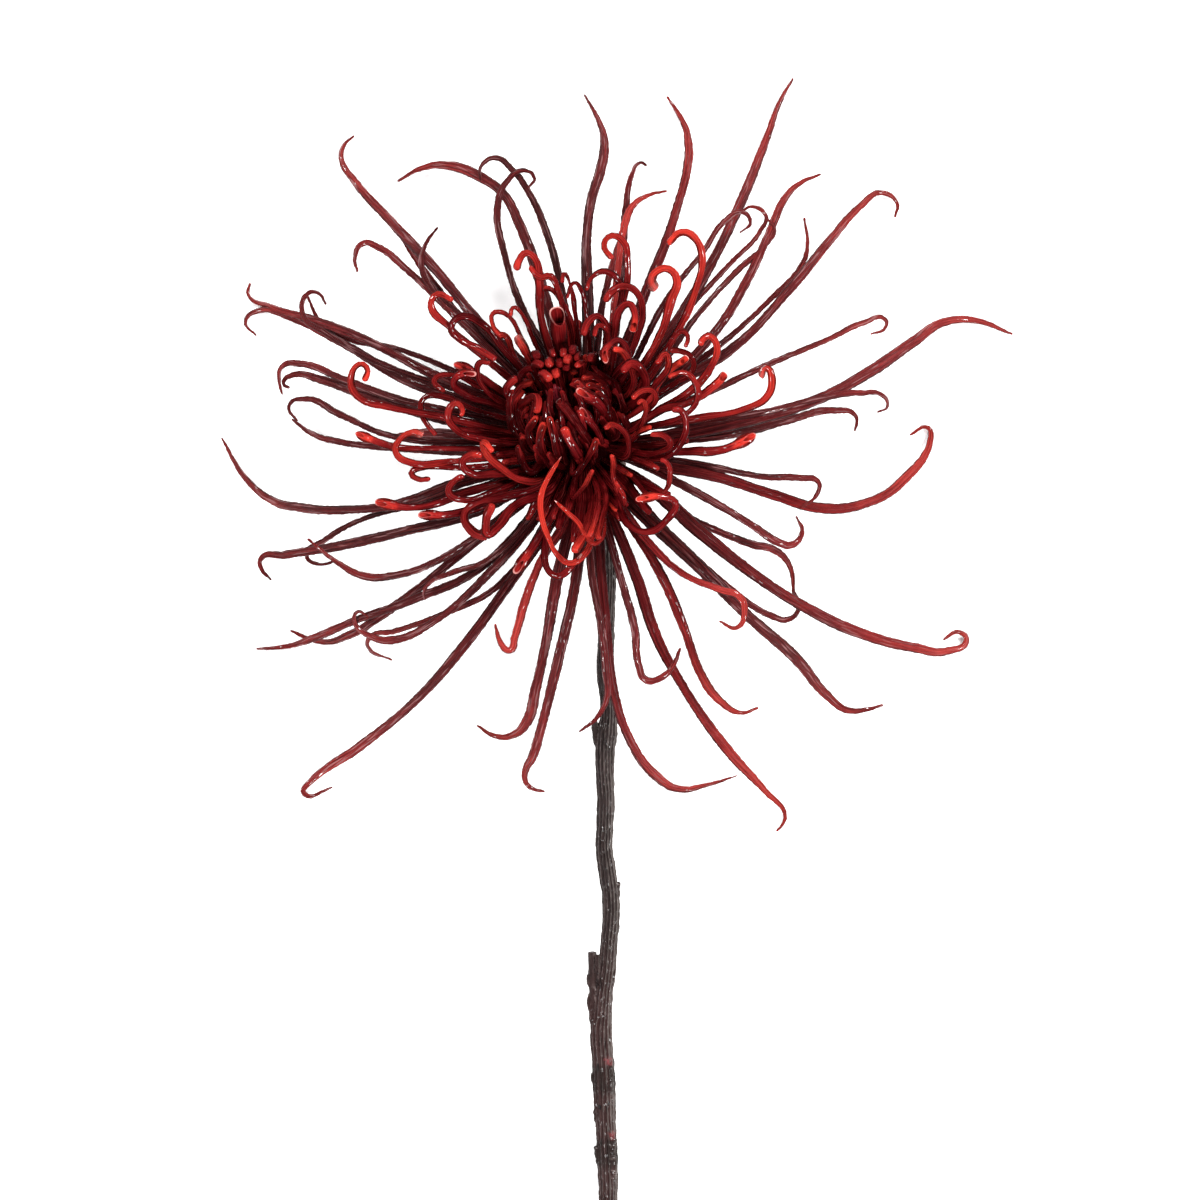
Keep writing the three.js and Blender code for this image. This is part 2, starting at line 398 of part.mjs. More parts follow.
/** The height of the ball's surface over a place, less the floret's depth. */
function crownPoint(x, y, depth) {
  const hollow = Math.hypot(x - EYE.x, y - EYE.y) / EYE_WIDTH;
  const radius = BALL_RADIUS - depth - EYE_DEPTH * Math.exp(-hollow * hollow);
  const off = new THREE.Vector2(x - BALL.x, y - BALL.y);
  const reach = Math.min(off.length(), BALL_RADIUS);
  const height = Math.sqrt(Math.max(radius * radius - reach * reach, 0));
  return new THREE.Vector3(x, y, BALL.z + height);
}

function crownFloret([width, depth, ...plan], index) {
  const points = [];
  for (let i = 0; i < plan.length; i += 2) points.push(crownPoint(plan[i], plan[i + 1], depth));
  const inward = points[0].clone().sub(BALL);
  inward.addScaledVector(AXIS, -inward.dot(AXIS)).normalize();
  const root = headPoint(0, 0, 7.5 + 2 * scatter(index)).addScaledVector(inward, 5.4);
  const middle = root.clone().lerp(points[0], 0.55).addScaledVector(inward, 1.6);
  const outward = (centre) => centre.clone().sub(BALL).addScaledVector(AXIS, 3);
  const widthAt = taper(1.4, width, 0.84, width * 0.62);
  const all = [root, middle, ...points];
  return loft(QUILL, ringsAlong(all, all.length - 1, widthAt, outward, QUILL_FLATNESS));
}

function skirtFloret(index) {
  const angle = (2 * Math.PI * (index + 0.5 * scatter(index))) / CROWN_SKIRT;
  const turn = 0.3 * (scatter(index * 7 + 2) - 0.5);
  const rise = 2.2 * scatter(index * 3 + 1);
  const points = [
    headPoint(5.6, angle, 6.6),
    headPoint(11.6, angle, 10.4),
    headPoint(12.8, angle + turn, 14 + rise),
    headPoint(11.6, angle + turn * 2, 17.4 + rise),
  ];
  const outward = headPoint(1, angle, 0).sub(HEAD);
  const widthAt = taper(1.4, SKIRT_WIDTH, 0.8, SKIRT_WIDTH * 0.6);
  return loft(QUILL, ringsAlong(points, 4, widthAt, () => outward, QUILL_FLATNESS));
}

// ---- the nodes ----------------------------------------------------------------------
/** What is left of a solid above the surface that the flower lies on. */
function aboveSurface(made) {
  const under = new THREE.BoxGeometry(700, 700, 20);
  under.translate(0, 0, -10);
  return made.subtract(solid(under));
}

function longFlorets() {
  const rim = DISC_RADIUS - 1;
  const profile = [[0, DISC_BOTTOM], [rim, DISC_BOTTOM], [DISC_RADIUS, -1], [rim, DISC_TOP], [0, DISC_TOP]];
  const disc = turned(profile, 28);
  return aboveSurface(wasm.Manifold.union([disc, ...LONG_FLORETS.map(longFloret)]));
}

function hookedFlorets() {
  const bottom = DISC_TOP + GAP;
  const rim = RING_RADIUS - 1;
  const outline = [[0, bottom], [RING_RADIUS, bottom], [RING_RADIUS, RING_TOP - 1]];
  const ring = turned([...outline, [rim, RING_TOP], [0, RING_TOP]], 26);
  return wasm.Manifold.union([ring, ...HOOKED_FLORETS.map(hookedFloret)]);
}

function crownFlorets() {
  const foot = RING_TOP + GAP;
  const profile = [[0, foot], [5, foot], [DOME_RADIUS, foot + 2.4], [DOME_RADIUS - 1, 10], [0, DOME_TOP]];
  const dome = turned(profile, 18);
  const skirt = Array.from({ length: CROWN_SKIRT }, (_, i) => skirtFloret(i));
  return wasm.Manifold.union([dome, ...CROWN_FLORETS.map(crownFloret), ...skirt]);
}

// Two rings of bracts: how many, and the radius and height of their feet and tips.
const BRACT_RINGS = [
  { count: 10, foot: [3.6, -8.3], middle: [7.2, -7.45], tip: [9, -5.4] },
  { count: 12, foot: [6.2, -6.8], middle: [9.6, -5.8], tip: [11.2, -3.6] },
];

function bract({ count, foot, middle, tip }, index) {
  const angle = (2 * Math.PI * (index + 0.25 * scatter(index))) / count;
  const points = [foot, middle, tip].map(([radius, height]) => headPoint(radius, angle, height));
  const outward = headPoint(1, angle, -1).sub(HEAD);
  return loft(QUILL, ringsAlong(points, 2, taper(2, 2.8, 0.5, 0.9), () => outward, 0.5));
}

/** The cup of small overlapping bracts under the head. */
function involucre() {
  const top = DISC_BOTTOM - GAP;
  const cup = turned([[0, CUP_BOTTOM], [3.4, CUP_BOTTOM], [7, -7.6], [9.4, -4.6], [9.6, top], [0, top]], 20);
  const bracts = BRACT_RINGS.flatMap((ring) => {
    return Array.from({ length: ring.count }, (_, i) => bract(ring, i));
  });
  return wasm.Manifold.union([cup, ...bracts]);
}

// The stem's route: x, y and height of its middle and its radius, from the neck to the cut.
const STEM_ROUTE = [
  [2.6, -14, 30.2, 2.3],
  [4.2, -22, 27.6, 2.2],
  [4.9, -32, 25.8, 2.15],
  [4.6, -45, 24, 2.05],
  [4.3, -58, 22.3, 2.15],
  [4.1, -66, 21.2, 2.5],
  [4.1, -73, 20.3, 2.45],
  [4.2, -80, 19.4, 2.2],
  [4.3, -90, 18.1, 2.15],
  [3.8, -101, 16.7, 2.15],
  [5, -108.6, 15.7, 2.4],
  [5.4, -114, 15, 2.35],
  [4.9, -122, 14, 2.25],
  [4.6, -130, 12.9, 2.2],
  [4.2, -140, 11.6, 2.3],
  [3.6, -150, 10.3, 2.35],
  [4, -157, 9.4, 2.55],
  [4, -164, 8.5, 2.3],
  [4.4, -172, 7.5, 2.4],
  [4.6, -178, 6.7, 2.6],
  [5, -188, 5.4, 2.3],
  [5.2, -200, 3.9, 2.25],
  [5, -215, 2.05, 2.2],
];
const NECK_TOP = headPoint(0, 0, CUP_BOTTOM - GAP);
const NECK_MIDDLE = headPoint(0, 0, CUP_BOTTOM - GAP - 3.4);
const NECK_RADII = [2.6, 2.45];
const GROOVE = 0.93; // radius of the grooves between the stem's ridges, as a share of the ridges'

/** The stem's section of radius 1, with every other corner a ridge. */
function ridgedSection(sides) {
  return Array.from({ length: sides }, (_, i) => {
    const angle = (2 * Math.PI * i) / sides;
    const radius = i % 2 ? 1 : GROOVE;
    return [radius * Math.cos(angle), radius * Math.sin(angle)];
  });
}

/** A short side growth on the stem: points in space, a width at its foot and at its end. */
function growth(points, footWidth, endWidth) {
  const places = points.map(([x, y, z]) => new THREE.Vector3(x, y, z));
  const widthAt = (s) => THREE.MathUtils.lerp(footWidth, endWidth, s);
  return loft(STRAP, ringsAlong(places, 4, widthAt, () => UP, 0.8));
}

/** The rings of the stem; the first one lies flat against the cup. */
function stemRings() {
  const places = STEM_ROUTE.map(([x, y, z]) => new THREE.Vector3(x, y, z));
  const radii = [...NECK_RADII, ...STEM_ROUTE.map((row) => row[3])];
  const points = [NECK_TOP, NECK_MIDDLE, ...places];
  const rings = ringsAlong(points, points.length - 1, () => 1, () => UP, 1);
  rings.forEach((ring, i) => {
    ring.width = radii[i];
    ring.thickness = radii[i];
  });
  const side = new THREE.Vector3(1, 0, 0);
  rings[0].side = side.addScaledVector(AXIS, -side.dot(AXIS)).normalize();
  rings[0].top = AXIS.clone().negate().cross(rings[0].side).normalize();
  return rings;
}

function stem() {
  const rod = loft(ridgedSection(STEM_SIDES), stemRings());
  const leafBase = growth([[3.4, -78, 19.6], [1.9, -73, 20.6], [0.9, -69.6, 21.4]], 2.6, 1);
  const bud = growth([[5, -113, 15.2], [7.6, -110.4, 15.9], [8.4, -108.6, 16.4]], 2.8, 1.2);
  const stub = growth([[3.6, -146, 11], [1.9, -138, 12.1], [1, -128.6, 13.4]], 2.4, 1.5);
  const lobe = growth([[3.4, -141, 11.5], [1.4, -140.2, 11.6], [0.7, -139.4, 11.7]], 2.6, 1.4);
  return aboveSurface(wasm.Manifold.union([rod, leafBase, bud, stub, lobe]));
}

// ---- the flower ---------------------------------------------------------------------
const PIECES = [
  ["stem", stem, 0x4a403a, 0.6],
  ["involucre", involucre, 0x4a4a2c, 0.6],
  ["long_florets", longFlorets, 0x5e1a20, 0.4],
  ["hooked_florets", hookedFlorets, 0xa8181c, 0.3],
  ["crown_florets", crownFlorets, 0x7a0a12, 0.3],
];

const flower = new THREE.Group();
const bloom = new THREE.Group();
bloom.position.set(BLOOM_X, BLOOM_Y, 0);
flower.add(bloom);
for (const [name, make, color, roughness] of PIECES) {
  const material = new THREE.MeshStandardMaterial({ color, roughness, metalness: 0 });
  const mesh = new THREE.Mesh(geometryOf(make()), material);
  mesh.name = name;
  bloom.add(mesh);
}

export default flower;
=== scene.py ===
"""The fine pieces of a cut spider chrysanthemum that lies on a surface, bloom face up.

Every floret is modelled straight, once for each kind of tip, then copied, tapered to its own
width and bent along its own route. Routes are in millimetres from the bloom's middle.
"""
import math
from contextlib import contextmanager

import bmesh
import bpy
import numpy as np
from bpy.props import FloatProperty, FloatVectorProperty, PointerProperty
from bpy.types import Operator, Panel, PropertyGroup
from mathutils import Matrix, Vector
from mathutils.geometry import intersect_point_line


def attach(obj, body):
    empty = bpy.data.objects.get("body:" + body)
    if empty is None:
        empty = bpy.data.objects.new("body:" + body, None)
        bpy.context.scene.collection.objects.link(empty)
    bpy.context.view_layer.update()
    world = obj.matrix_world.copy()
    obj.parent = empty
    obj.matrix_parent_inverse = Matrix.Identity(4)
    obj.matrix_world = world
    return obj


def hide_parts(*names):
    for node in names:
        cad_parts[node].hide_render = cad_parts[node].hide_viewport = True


bl_info = {
    "name": "Spider Chrysanthemum",
    "version": (1, 0, 0),
    "blender": (4, 5, 0),
    "location": "View3D > Sidebar > Flower",
    "description": "Makes the florets, cup and stem of a cut spider chrysanthemum",
    "category": "Object",
}

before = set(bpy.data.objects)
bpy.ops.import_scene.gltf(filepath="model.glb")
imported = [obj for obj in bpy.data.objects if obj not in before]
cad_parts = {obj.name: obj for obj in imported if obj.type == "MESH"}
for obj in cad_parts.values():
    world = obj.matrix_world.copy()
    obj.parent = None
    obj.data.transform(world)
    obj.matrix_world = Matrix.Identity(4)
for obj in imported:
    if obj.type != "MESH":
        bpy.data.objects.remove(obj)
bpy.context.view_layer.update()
BODY = "root"

MM = 0.001
BLOOM = Vector((-7.2, 61.4, 0))  # the bloom's middle in the part's frame, mm

# ---- the head -----------------------------------------------------------------------------
HEAD = Vector((-2, 0, 41))  # foot of the head's axis
LEAN = math.radians(32)  # the axis leans this far from upright
LEAN_TOWARDS = math.radians(120)  # and to this side, from +X
LEAN_PLAN = Vector((math.cos(LEAN_TOWARDS), math.sin(LEAN_TOWARDS)))
AXIS = Vector((math.sin(LEAN) * LEAN_PLAN.x, math.sin(LEAN) * LEAN_PLAN.y, math.cos(LEAN)))
HEAD_TURN = Vector((0, 0, 1)).rotation_difference(AXIS)

DISC_RADIUS = 11.5  # long florets grow from this disc
DISC_BOTTOM = -2.7  # heights along the head's axis
DISC_TOP = 0.5
RING_RADIUS = 10.6  # hooked florets grow from this one
RING_TOP = 4.6
DOME_RADIUS = 8  # crown florets grow from a dome on top
DOME_TOP = 12.5
CUP_BOTTOM = -9.5
GAP = 0.3
ROOT_DEPTH = 6.5  # distance of a floret's root from the axis

# ---- the florets' widths --------------------------------------------------------------------
TIP_WIDTH = 0.6
QUILL_ROOT = 1.3  # a hooked floret's width at its root
LONG_ROOT = 1.6  # and a long one's
FULLNESS = 1.12  # how much wider than its plan's width a long floret has grown
BASE_FULLNESS = 1.22  # and how much wider again it is near the head
GROWN_AT = 0.35  # a floret has its full width from this share of its length
TAPERING = 1.4  # how slowly its tip starts to narrow
BROADENING = (0, 0.14)  # shares of a long floret's length over which it broadens,
NARROWING = (0.18, 0.5)  # narrows to its own width
TIP_TAPER = (0.78, 1)  # and runs out to its tip
SWELL = 0.07  # how much a floret's width swells and shrinks, and how often
SWELLS = 2.6
BEND_ROOM = 1.5  # widest a floret may be, in radii of its bend
UNBENT = 1000.0  # radius of a bend that is straight
LONGEST_TIP = 0.6  # most of a floret's length that its tip may take up

# ---- the florets' heights -------------------------------------------------------------------
# A parting surface lies between the hooked florets above it and the long ones below it. It
# leans with the head, flattens further out, rises in an arch and droops.
PARTING = (DISC_TOP + GAP / 2) / math.cos(LEAN)
FLATTENING = 22
DROOP = 28
ARCH = 9
ARCH_START = 10
ARCH_END = 88

CLEARING = (10, 24)  # distances from the head over which florets part from that surface
LAYER_DEPTHS = {"upper": -1.5, "lower": -2.7}  # the long florets' layers, from that surface
LONG_CLEARANCE = 1.6
SINKING = 1.7  # how late along a long floret it sinks
TIP_LIFT = 2.5  # how far its tip is lifted, and from which share of its length
TIP_LIFTS_FROM = 0.86
LYING = 1.15  # least height of a long floret's middle
HOOKED_LAYER = 1.2  # height of one layer of hooked florets, and their clearance
RISING = 1.4  # how late along a hooked floret it rises

# ---- the florets' rolls ---------------------------------------------------------------------
LONG_TWIST = 0.8
HOOKED_TWIST = 0.6
FILLER_ROLL = 0.6
SLIT_ROLL = 0.3  # share of the others' roll

# ---- florets by their plan, seen from above -------------------------------------------------
# Each row: tone from dark 0 to bright 1, width, how far the tip sinks below the parting
# surface, then x and y of points from the head outwards.
LONG_FLORETS = [
    (0.3, 2.5, 9, 0, 22, -0.2, 40, -0.4, 50, 0.8, 61, 3.2, 69, 4.1, 75, 3.2, 80, -1, 88),
    (0.55, 2.2, 12, 9, 24, 15.2, 40, 19.3, 50, 22.5, 60, 24.8, 69, 25.2, 75, 23.8, 81, 19.8, 87.4),
    (0.25, 1.7, 4, 6, 24, 8.4, 45, 9.6, 60, 11, 67.5, 13, 70.5, 14.7, 69.8),
    (0.85, 1.7, 0, 5, 22, 7.6, 44, 9, 54, 11.5, 60, 15, 62.2, 19.8, 63.4),
    (0.1, 1.7, 5, -4, 22, -7.5, 43, -10.4, 53, -14.5, 62.5, -19, 68.8, -23.5, 71.8, -26.6, 70, -27, 66),
    (0.2, 1.6, 3, -9, 20, -16.5, 34, -21, 48, -22.7, 59,
     -20, 66.3, -16.5, 68.6, -13.4, 66.6, -14.9, 64.3),
    (0.4, 2.3, 8, -7, 23, -14, 47, -17.4, 55.5, -20.8, 62.2, -27, 67, -35.5, 70, -42, 69.2, -47.8, 66),
    (0.45, 2.4, 11, -12, 15, -26, 29, -38, 43.5, -50, 56.5,
     -58.5, 66, -61.9, 71.5, -61.3, 75, -58.6, 77.6),
    (0.1, 1.6, 2, -16, 17, -31, 31.5, -38.3, 38, -41.7, 45, -40.8, 49.8, -37.6, 54.4),
    (0.4, 1.7, 6, -16, 15, -33, 32, -45, 43.4, -53, 49.6, -56.6, 50.3, -58.4, 47, -57.8, 43.2),
    (0.45, 2.0, 14, -18, 8, -38, 17, -55, 25.8, -70, 31.6, -80, 34.7, -85.2, 37.4, -84.8, 40.6),
    (0.35, 2.2, 20, -20, 7, -44, 15.4, -62, 25.6, -76, 32.6, -82, 33.8, -86, 30.8, -83.2, 27.3),
    (0.25, 1.4, 6, -19, 9, -50, 19.4, -66, 28, -71.6, 33, -70.6, 37.6, -67.8, 38, -65.6, 35),
    (0.3, 1.3, 15, -18, 10, -45, 23, -61, 26.8, -67, 30.5, -70.4, 37.2),
    (0.35, 1.8, 9, -17, 5, -45, 10.5, -62, 16.6, -72, 20.2, -77, 19.2, -77.4, 15.6, -76.6, 12.4),
    (0.25, 2.2, 13, -17, 3, -38, 6.6, -55, 12, -67, 16.2, -74, 17.4, -76.4, 15.6, -74.8, 14.1),
    (0.25, 1.5, 17, -17, 0.5, -48, 1.8, -62, 7.4, -71, 11.4, -75, 9.6, -72.8, 5.8),
    (0.25, 1.6, 21, -18, -2, -50, -0.8, -63, 0.8, -69, 2.6, -74.4, 6.4),
    (0.35, 2.2, 22, -15, -5, -32, -9.6, -46, -14.6, -60, -16.4,
     -72, -15.8, -80, -13.6, -86, -8.4, -92, 1.8),
    (0.25, 1.3, 25, -16, -7, -43, -15, -56, -18.6, -66, -24, -70.4, -28.4, -67.4, -30, -62.8, -29),
    (0.25, 2.2, 12, -14, -9, -30, -17.6, -46, -21.8, -62, -25.4,
     -76, -27.7, -82.2, -29, -82, -31, -79.4, -34),
    (0.4, 1.8, 5, -12, -11, -26, -22, -38, -29.4, -48, -32.8, -56, -33, -63, -29.4, -70.2, -23.7),
    (0.38, 1.9, 18, -11, -14, -27, -31, -43, -38.6, -58, -44, -69, -48.6, -76, -50.7, -83.3, -51.3),
    (0.45, 2.0, 26, -13, -11, -31, -26.6, -41, -35, -52, -43, -60, -47.8, -68, -49.3, -74.8, -46.6),
    (0.4, 1.8, 10, -11, -16, -25, -32.6, -38, -44, -49, -49,
     -55, -47.8, -58.5, -44.4, -57.6, -41.9, -55, -43.3),
    (0.5, 1.5, 22, -9, -17, -22, -35, -36, -42.4, -48, -46.7, -55, -48.8, -55, -51, -49, -54.1),
    (0.25, 1.3, 2, -12, -15, -25, -29, -34, -32.2, -39.6, -34.8, -41, -37, -40.7, -39),
    (0.45, 2.2, 21, -8, -17, -20, -35.4, -31, -50.4, -42, -63,
     -58, -76.3, -69.6, -84.6, -71.4, -87.4, -64, -86),
    (0.8, 2.0, -4, -5, -18, -11.6, -29, -15.6, -39, -18.2, -48, -19.7, -51.6, -21.6, -50, -23.2, -45),
    (0.5, 2.4, 22, -4, -18, -7.6, -33, -10.2, -48, -13, -61,
     -15.3, -69.4, -18.6, -72.7, -23, -73.2, -28, -70.3),
    (0.4, 2.3, 12, -1.5, -18, -3.4, -36, -7, -52, -10.4, -66,
     -13.4, -77, -15.7, -84.4, -14, -86.2, -10.8, -87),
    (0.3, 1.8, 6, 0.5, -18, 1, -33, 3, -44, 4.4, -56, 4.6, -63.6, 2, -68.6, -2.3, -72),
    (0.55, 2.4, 18, 2, -17, 3.4, -34, 4.6, -48, 6, -60,
     11, -75, 17, -83, 23, -86.4, 30, -85.3, 37.5, -83),
    (0.4, 1.8, 2, 3.5, -17, 8.6, -35, 11.6, -46, 12.6, -55, 14.6, -59, 18.6, -58.2, 21.4, -55, 23, -51),
    (0.62, 2.3, 23, 5, -16, 12, -33, 16.6, -47, 24, -61,
     35, -76.6, 45, -87.5, 49.4, -92.6, 49, -95, 47.3, -97),
    (0.6, 2.2, 8, 7.5, -15, 18.4, -33, 24, -46, 28, -57, 33, -64.2, 38.6, -67.2, 42.6, -65.9),
    (0.35, 2.6, 16, 9, -13, 25, -28, 39, -42, 52, -53.6, 60, -63, 65, -66.6, 69.6, -66.5, 74, -65.3),
    (0.75, 1.6, -6, 8, -15, 16, -25.6, 24, -32.6, 33, -36.4,
     38, -38.4, 39, -42, 37.6, -45.6, 32.7, -44.3),
    (0.3, 1.7, 12, 10, -12, 24, -26, 36, -36.6, 46, -43, 50.4, -43.7, 52.6, -41.4, 51.3, -36),
    (0.4, 1.8, 20, 10, -8, 16, -11.4, 22, -15.7, 25.2, -18.4, 31.6, -21.4,
     41.1, -25.1, 46.4, -26.4, 50.4, -30.4, 51.6, -38.6),
    (0.4, 1.8, 4, 12, -4.4, 22.6, -9.8, 33.7, -15.9, 41.1, -20.4,
     47.6, -24.6, 51, -25.2, 53.4, -22.4, 52, -18),
    (0.55, 2.6, 18, 11, -7.6, 16, -11.2, 28, -22, 42, -33, 55, -41.2, 69, -47.6,
     82, -51, 90, -51.8, 95, -49, 93, -47, 89, -49),
    (0.3, 1.6, 6, 14, -3, 30, -5.6, 44, -8.2, 53, -8.5, 57.6, -9.6, 57.4, -12.2, 53.4, -16),
    (0.65, 2.3, 28, 14, -4.5, 32, -8.2, 46, -12.6, 58, -16,
     70, -14.6, 79, -9, 86, 1.6, 85.4, 4.2, 80.7, 2.4),
    (0.5, 2.6, 14, 15, 1.2, 20, 2, 38, 5.6, 56, 10.6, 70, 17.8, 82, 26, 89, 30.6, 97, 31.2, 106.5, 27.7),
    (0.35, 1.5, 8, 15, 4.2, 20, 4.8, 42, 7.6, 58, 11.4, 68, 12.8, 74.2, 11.8, 75, 9.8, 72.3, 7.9),
    (0.32, 1.9, 21, 15, 0.8, 36, 2.4, 50, 6, 62, 8.5, 67.2, 6.8, 66.8, 3.2),
    (0.3, 2.6, 22, -17, 1.8, -28, 2, -40, 2.5, -49, 2.2),
    (0.5, 1.5, 3, 12.6, 5.2, 16.4, 7.3, 20, 9.2, 28, 12, 44, 19.4,
     60, 26.2, 69, 30.4, 74.4, 31.2, 74.4, 29.2, 70.7, 27.5),
    (0.5, 2.1, 9, 13, 9.4, 22, 15.2, 36, 23.8, 50, 38.2,
     61, 51.6, 68.6, 60, 73.6, 63.2, 77.4, 60.8, 77, 57),
    (0.5, 1.3, 13, 13, 10.4, 32, 24, 46, 36.6, 53.6, 45, 55, 50, 54.2, 56.8),
    (0.5, 2.0, 4, 13, 10, 31, 27, 40, 41.4, 45.4, 53, 49.6, 62, 53, 65.4, 58.5, 67.8),
    (0.5, 2.4, 12, 9, 13, 20, 27, 30, 43.6, 38, 60, 44.5, 76, 48.4, 86.5, 51.5, 92),
    (0.35, 1.3, 0, 9, 16, 20, 36.6, 29, 48.4, 34.4, 56, 38.6, 58.1, 40.6, 55.6, 38, 52.8),
    (0.5, 1.2, 8, 11, 16, 24, 32.4, 35, 44.6, 43.4, 53.8, 44.4, 57.6, 41.6, 59.5, 38.4, 58.4),
    (0.35, 1.5, 3, 12, 12, 28, 33, 38, 44, 45, 50.4, 46.7, 54, 44.2, 57),
    (0.35, 1.6, 15, 2, 22, 3.4, 34, 5.6, 43, 8, 52),
    (0.3, 1.8, 12, -13, 13, -29, 28, -40, 42, -47, 52),
]

